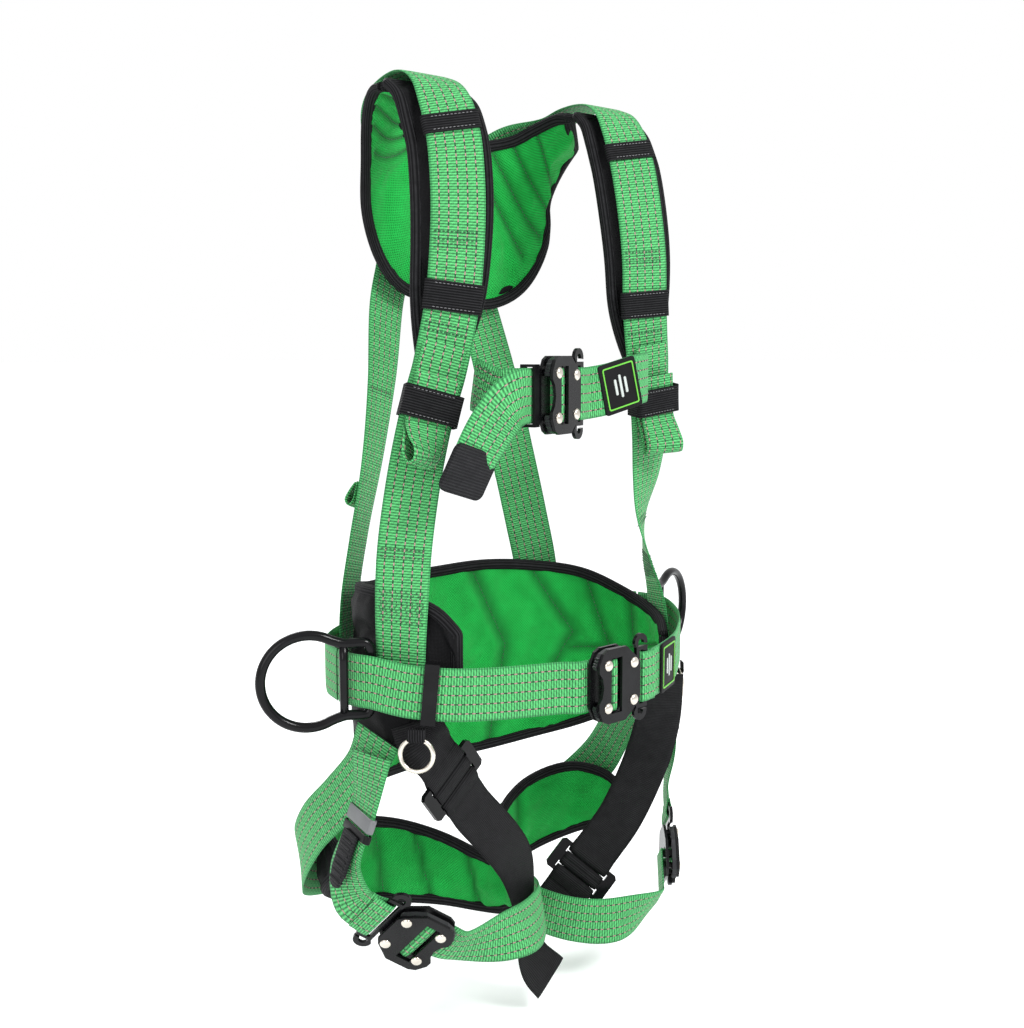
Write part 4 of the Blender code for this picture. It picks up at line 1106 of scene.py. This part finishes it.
def yoke():
    neck = [(-80, 4, 480), (-79, 22, 482), (-76, 46, 476), (-67, 70, 466), (-42, 86, 460), (-20, 92, 457)]
    outer = [(-141, 4, 478), (-138, 22, 477), (-128, 44, 460), (-114, 64, 428), (-104, 77, 385),
             (-82, 86, 346), (-52, 92, 322)]
    neck_line = neck + [(0, 94, 457)] + [(-x, y, z) for x, y, z in reversed(neck)]
    left = [(-x, y, z) for x, y, z in reversed(outer)]
    left[:4] = [(66, 93, 310), (98, 84, 328), (117, 74, 368), (112, 66, 412)]
    outer_line = outer + [(0, 96, 312)] + left
    channels = []
    for s in (-1, 1):
        channels += [[(0.5 + s * a, 0.02), (0.5 + s * b, end)] for a, b, end in YOKE_CHANNELS]
    soft_pad("yoke_padding", "yoke_back_pad", neck_line, outer_line, YOKE_THICK, 10, 32, INNER["yoke"], channels)


def shoulder_pads():
    taper = [1, 1, 1, 1, 1, 1, 0.97, 0.9, 0.72, 0.42]
    for side, route, reach in (("right", RIGHT_SHOULDER, (35, 27)), ("left", LEFT_SHOULDER, (33, 29))):
        edges = ([], [])
        for (place, across, normal), share in zip(stations(route, count=1)[2:], taper):
            inside = place - normal * SHOULDER_PAD_DROP
            edges[0].append(tuple(inside - across * reach[0] * share))
            edges[1].append(tuple(inside + across * reach[1] * share))
        channels = [[(0.03, 0.5), (0.97, 0.5)]]
        soft_pad(side + "_shoulder_padding", side + "_shoulder_pad", *edges, YOKE_THICK, 6, 12,
                 INNER["shoulder"], channels)


RIGHT_LEG = [
    (-180, 28, -156, -176), (-175, 54, -146, -198), (-150, 84, -152, -224), (-106, 97, -166, -246),
    (-60, 93, -180, -258), (-22, 74, -198, -266), (-1, 42, -214, -269), (3, 14, -218, -264),
    (-2, -10, -222, -252),
]
LEFT_LEG = [
    (186, 18, -196, -214), (182, 44, -176, -228), (160, 76, -168, -242), (118, 95, -178, -256),
    (80, 92, -194, -266), (52, 74, -210, -274), (40, 48, -224, -280), (38, 22, -238, -278),
]
LEG_CHANNELS = {
    "right": ((0.3, -0.02), (0.42, 0.03), (0.54, 0.05), (0.7, 0.05)),
    "left": ((0.5, 0.02),),
}
INNER = {"waist": -1, "yoke": -1, "shoulder": -1, "right_leg": -1, "left_leg": 1}


def leg_pads():
    for side, outline in (("right", RIGHT_LEG), ("left", LEFT_LEG)):
        top = [(x, y, high) for x, y, high, low in outline]
        bottom = [(x, y, low) for x, y, high, low in outline]
        channels = [[(u, 0.04), (u + lean, 0.96)] for u, lean in LEG_CHANNELS[side]]
        soft_pad(side + "_leg_padding", side + "_leg_pad", top, bottom, LEG_PAD_THICK, 6, 14,
                 INNER[side + "_leg"], channels)


# ---------------------------------------------------------------- metalwork


def repaint(node, mat, width=0.45, segments=3):
    obj = NODES[node]
    for slot in obj.material_slots:
        slot.material = mat
    if width:
        bevel(obj, width, segments, 28.0)


def d_ring(node, placed, size, body):
    """A forged D in round bar, with its webbing bar and worn gloss."""
    mid = D_SLOT / 2
    start = 118
    rim = []
    for k in range(61):
        turn = math.radians(start - 2 * start * k / 60)
        rim.append((D_ARC_CENTRE - mid + D_ARC_RADIUS * math.cos(turn), D_ARC_RADIUS * math.sin(turn)))
    corner = [(-mid, D_SLOT_HALF * 0.8), (-mid + 3, D_SLOT_HALF), (mid, D_SLOT_HALF + 1)]
    path = corner + rim + [(x, -z) for x, z in reversed(corner)] + [(-mid, 0.0)]
    dense = catmull([(x * size, 0.0, z * size) for x, z in path + path[:1]], 2.5)[:-1]
    places = [placed @ Vector(p) for p in dense]
    up = placed.col[1].to_3d()
    ring = tube(node + "_bar", places, [up] * len(places), D_BAR, D_BAR, BLACK_METAL, body, sides=20)
    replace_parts(ring, node)
    reach = (D_SLOT_HALF + 1) * size
    ends = [placed @ Vector((mid * size, 0, z)) for z in (-reach, -reach / 2, 0, reach / 2, reach)]
    cross = tube(node + "_crossbar", ends, [up] * 5, D_BAR * 0.86, D_BAR * 0.86, BLACK_METAL, body,
                 closed=False, sides=20)
    return ring, cross


def rings():
    for side, sign, swing in (("right", -1, 30.0), ("left", 1, 19.0)):
        turn = math.radians(swing)
        outward = Vector((sign * math.cos(turn), math.sin(turn), 0))
        facing = Vector((outward.y, -outward.x, 0)) * sign
        x, y, _ = hip_point(sign, HIP_ANGLE)
        d_ring(side + "_hip_d_ring", axes((x, y, 1.5), outward, facing), 1.0, side + "_hip_d_ring")
        top = Vector((sign * 167.0, -62.0, -43.0))
        out = Vector((sign * 0.78, -0.62, 0.0))
        along = Vector((-out.y, out.x, 0))
        placed = axes(top, along, -out)
        radius = 13.5
        path = []
        for k in range(48):
            t = 2 * math.pi * k / 48
            path.append(placed @ Vector((radius * math.sin(t), 0, radius * (math.cos(t) - 1))))
        ring = tube(side + "_gear_ring_wire", path, [placed.col[1].to_3d()] * 48, 2.0, 2.0, NICKEL,
                    side + "_gear_ring", sides=14)
        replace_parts(ring, side + "_gear_ring")
        gear_tag(side, top, out, along)
    d_ring("dorsal_d_ring", axes((0, 144.5, 414), (0, 0.3, -0.954), (0, 0.954, 0.3)), 0.84, "dorsal_d_ring")


def gear_tag(side, top, out, along):
    """A folded elastic tag over the ring's wire."""
    shape = [(8.2, 2.6), (3.0, 2.7), (-0.6, 2.8), (-3.0, 0.0), (-0.6, -2.8), (3.0, -2.7), (8.2, -2.6)]
    route = [(*(top + Vector((0, 0, rise)) + out * lift), *along) for rise, lift in shape]
    tag = band(side + "_gear_ring_tag_fold", stations(route, 1.0), 15.0, 1.2, ELASTIC)
    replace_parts(tag, side + "_gear_ring_tag")


def rivet(name, place, axis, radius=4.7, rise=2.1):
    """A domed nickel rivet head with a rolled lip."""
    profile = [(0.02, rise), (0.35, rise * 0.96), (0.62, rise * 0.82), (0.82, rise * 0.56), (0.95, rise * 0.24),
               (1.0, 0.05), (1.0, -0.5)]
    side = axis.orthogonal().normalized()
    other = axis.cross(side)
    verts, faces = [], []
    turns = 24
    for share, height in profile:
        for k in range(turns):
            t = 2 * math.pi * k / turns
            verts.append(place + axis * height + (side * math.cos(t) + other * math.sin(t)) * radius * share)
    for i in range(len(profile) - 1):
        for k in range(turns):
            n = (k + 1) % turns
            faces.append((i * turns + k, (i + 1) * turns + k, (i + 1) * turns + n, i * turns + n))
    faces.append(tuple(range(turns)))
    return piece(name, verts, faces, NICKEL)


def buckles():
    for name, placed in BUCKLES.items():
        repaint(name + "_buckle_housing", SATIN_METAL)
        repaint(name + "_buckle_tongue", BLACK_METAL, 0.5)
        for tag in ("a", "b"):
            repaint(f"{name}_buckle_latch_{tag}", LATCH_METAL, 0.35, 2)
        front = -placed.col[1].to_3d()
        for k, (x, z) in enumerate(RIVETS):
            place = placed @ Vector((x, -PLATE_FACE - 0.35, z))
            rivet(f"{name}_rivet_{k}", place, front)
        housing_wrap(name)
        tongue_wrap(name)


def housing_wrap(name):
    """Webbing turned round the housing's bar, showing in its window."""
    shape = [(-3.0, 8.4), (-2.9, 4.0), (-2.8, 0.0), (-4.1, -3.0), (-7.5, -4.3), (-10.9, -3.0), (-12.2, 0.0),
             (-12.1, 4.0), (-12.0, 8.4)]
    route = [(*on_buckle(name, x, y), *bar_of(name)) for x, y in shape]
    band(name + "_bar_wrap", stations(route, 1.2), WEB_WIDTH - 0.6, 1.5)


def tongue_wrap(name):
    """Webbing turned round the tongue's bar, both layers running into the strap."""
    shape = [(47, 1.2), (42, 1.6), (37, 2.7), (33, 2.9), (29.8, 2.4), (28.7, 0.0), (29.8, -2.4), (33, -2.9),
             (37, -2.7), (42, -1.6), (47, -1.2)]
    route = [(*on_buckle(name, x, y), *bar_of(name)) for x, y in shape]
    line = stations(route, 1.2)
    band(name + "_tongue_wrap", line, WEB_WIDTH - 0.4, 1.4)


def adjusters():
    for side, (centre, run, face, upper, lower) in riser_routes().items():
        repaint(side + "_riser_adjuster", BLACK_METAL, 0.8, 3)
        placed = axes(centre, run, face)
        bar = tuple(placed.col[2].to_3d())
        for tag, sign in (("upper", -1), ("lower", 1)):
            shape = [(24, 0.4), (20, 1.8), (15.0, 3.4), (11, 3.2), (8.3, 0.0), (11, -3.2), (15.0, -3.4),
                     (20, -1.8), (24, -0.4)]
            route = [(*(placed @ Vector((sign * x, y, 0))), *bar) for x, y in shape]
            band(f"{side}_riser_{tag}_wrap", stations(route, 1.4), WEB_WIDTH, 1.5, BLACK_WEB)
        shape = [(0, 3.2), (-4.2, 3.0), (-6.9, 0.0), (-4.2, -3.0), (4.2, -3.0), (6.9, 0.0), (4.2, 3.0), (0, 3.2)]
        route = [(*(placed @ Vector((x, y, 0))), *bar) for x, y in shape]
        band(side + "_riser_centre_wrap", stations(route, 1.4), WEB_WIDTH, 1.5, BLACK_WEB)
    repaint("dorsal_plate", PLASTIC, 0.7)


def sliders():
    repaint("belt_slider", PLASTIC, 0.8)
    repaint("chest_slider", PLASTIC, 0.8)


# ---------------------------------------------------------------- patches and tabs


def patch(name, centre, across, normal, width, height):
    """A moulded rubber patch with a coloured inner border and a plain bar mark."""
    up = normal.cross(across).normalized()
    placed = axes(centre, across, -normal)
    if placed.col[2].to_3d().dot(up) < 0:
        up = -up
    slab(name, rounded(width, height, 3.0), -3.2, -1.0, placed, RUBBER, 0.5)
    outer, inner = rounded(width - 7, height - 7, 2.0), rounded(width - 9.4, height - 9.4, 1.4)
    verts, faces = [], []
    count = len(outer)
    for y in (-3.75, -3.0):
        for x, z in outer + inner:
            verts.append(placed @ Vector((x, y, z)))
    for k in range(count):
        n = (k + 1) % count
        faces.append((k, n, count + n, count + k))
        faces.append((k, 2 * count + k, 2 * count + n, n))
        faces.append((count + k, count + n, 3 * count + n, 3 * count + k))
    piece(name + "_border", verts, faces, LIME, smooth=False)
    for k, (x, long) in enumerate(((-5.5, 14.0), (0.0, 20.0), (5.5, 14.0))):
        bar = [(x + px, pz) for px, pz in rounded(2.6, long, 1.2)]
        slab(f"{name}_mark_{k}", bar, -3.9, -3.0, placed, PALE, 0.3)


def patches(lines):
    line = lines["left_chest_strap"]
    place, across, normal = line[find(line, (34, -98, 237))]
    face = normal if normal.y < 0 else -normal
    patch("chest_patch", place, across.cross(face), face, 41, 44)
    line = lines["belt_left"]
    place, across, normal = line[find(line, (66, -127, BELT_Z))]
    face = normal if normal.y < 0 else -normal
    patch("belt_patch", place, across.cross(face), face, 41, 44)


def tail_tab(lines):
    """The rounded dark tab that ends the chest strap's tail."""
    line = lines["chest_tail_tab"]
    end, across, normal = line[-1]
    run = (line[-1][0] - line[-3][0]).normalized()
    placed = axes(end - run * 14, across, normal)
    outline = rounded(46.5, 40.0, 7.0)
    slab("chest_tail_end", outline, -2.4, 2.4, placed, TAB_FABRIC, 0.9, segments=3)


def leg_fittings(lines):
    """The grey keeper, its black block and the ribbed pull tab on the near leg strap, and far tabs."""
    line = lines["right_leg_front_strap"]
    place, across, normal = line[find(line, (-194, -27, -112))]
    run = across.cross(normal)
    sleeve_piece("right_leg_keeper", place, run, normal, WEB_WIDTH + 2.0, 5.0, 12.0, GREY_PLASTIC)
    sleeve_piece("right_leg_keeper_block", place + run * 11, run, normal, WEB_WIDTH + 2.0, 5.6, 7.0, PLASTIC)
    pull_tab("right_leg_pull_tab", place + run * 36 + normal * 5.0, across, normal, run, 26.0, 46.0)
    line = lines["left_leg_front_strap"]
    place, across, normal = line[find(line, (190, -28, -104))]
    run = across.cross(normal)
    sleeve_piece("left_leg_keeper", place, run, normal, WEB_WIDTH + 2.0, 5.0, 12.0, PLASTIC)
    pull_tab("left_leg_pull_tab", place + run * 32 + normal * 5.0, across, normal, run, 26.0, 40.0)


def pull_tab(name, centre, across, normal, run, width, length):
    """A tapered, ribbed tab that hangs flat on a strap."""
    placed = axes(centre, across, normal)
    sign = 1.0 if placed.col[2].to_3d().dot(run) > 0 else -1.0
    half = width / 2
    outline = [(-half, -0.5), (-half * 0.98, 0.2), (-half * 0.6, 0.46), (0, 0.5), (half * 0.6, 0.46),
               (half * 0.98, 0.2), (half, -0.5)]
    outline = [(x, z * length * sign) for x, z in outline]
    slab(name, outline, -1.4, 1.4, placed, TAB_FABRIC, 0.6)
    for k in range(7):
        z = (k / 6 - 0.5) * length * 0.72 * sign
        bar = [(px, z + pz) for px, pz in rounded(width * 0.78, 2.0, 0.9)]
        slab(f"{name}_rib_{k}", bar, 1.0, 2.1, placed, TAB_FABRIC, 0.4)
        slab(f"{name}_rib_{k + 7}", bar, -2.1, -1.0, placed, TAB_FABRIC, 0.4)


def back_fittings(lines):
    """The folded webbing loop on each back strap."""
    for side, sign in (("right", -1), ("left", 1)):
        line = lines[side + "_back_strap"]
        place, across, normal = line[find(line, (sign * 96, 91, 136))]
        if normal.y < 0:
            normal = -normal
        run = across.cross(normal)
        shape = [(9, 3.2), (0, 3.4), (-9, 4.4), (-13, 8), (-9, 11.4), (0, 9), (8, 4.9)]
        route = [(*(place + run * d + normal * lift), *across) for d, lift in shape]
        band(side + "_back_fold", stations(route, 1.5), WEB_WIDTH - 4, 1.6)


def sleeve_piece(name, centre, run, normal, width, depth, height, mat):
    placed = axes(centre, run, normal)
    path = [Vector((0, y, z)) for y, z in rounded(depth, width, depth / 2 - 0.1, 4)]
    world = [placed @ p for p in path]
    axis = placed.col[0].to_3d()
    return tube(name, world, [axis] * len(world), 0.8, height / 2, mat, sides=12, power=0.5)


# ---------------------------------------------------------------- build

place_camera()
studio()
LINES = webbing()
chest_loops()
keepers()
waist()
yoke()
shoulder_pads()
leg_pads()
rings()
buckles()
adjusters()
sliders()
patches(LINES)
tail_tab(LINES)
leg_fittings(LINES)
back_fittings(LINES)
sewing(LINES)
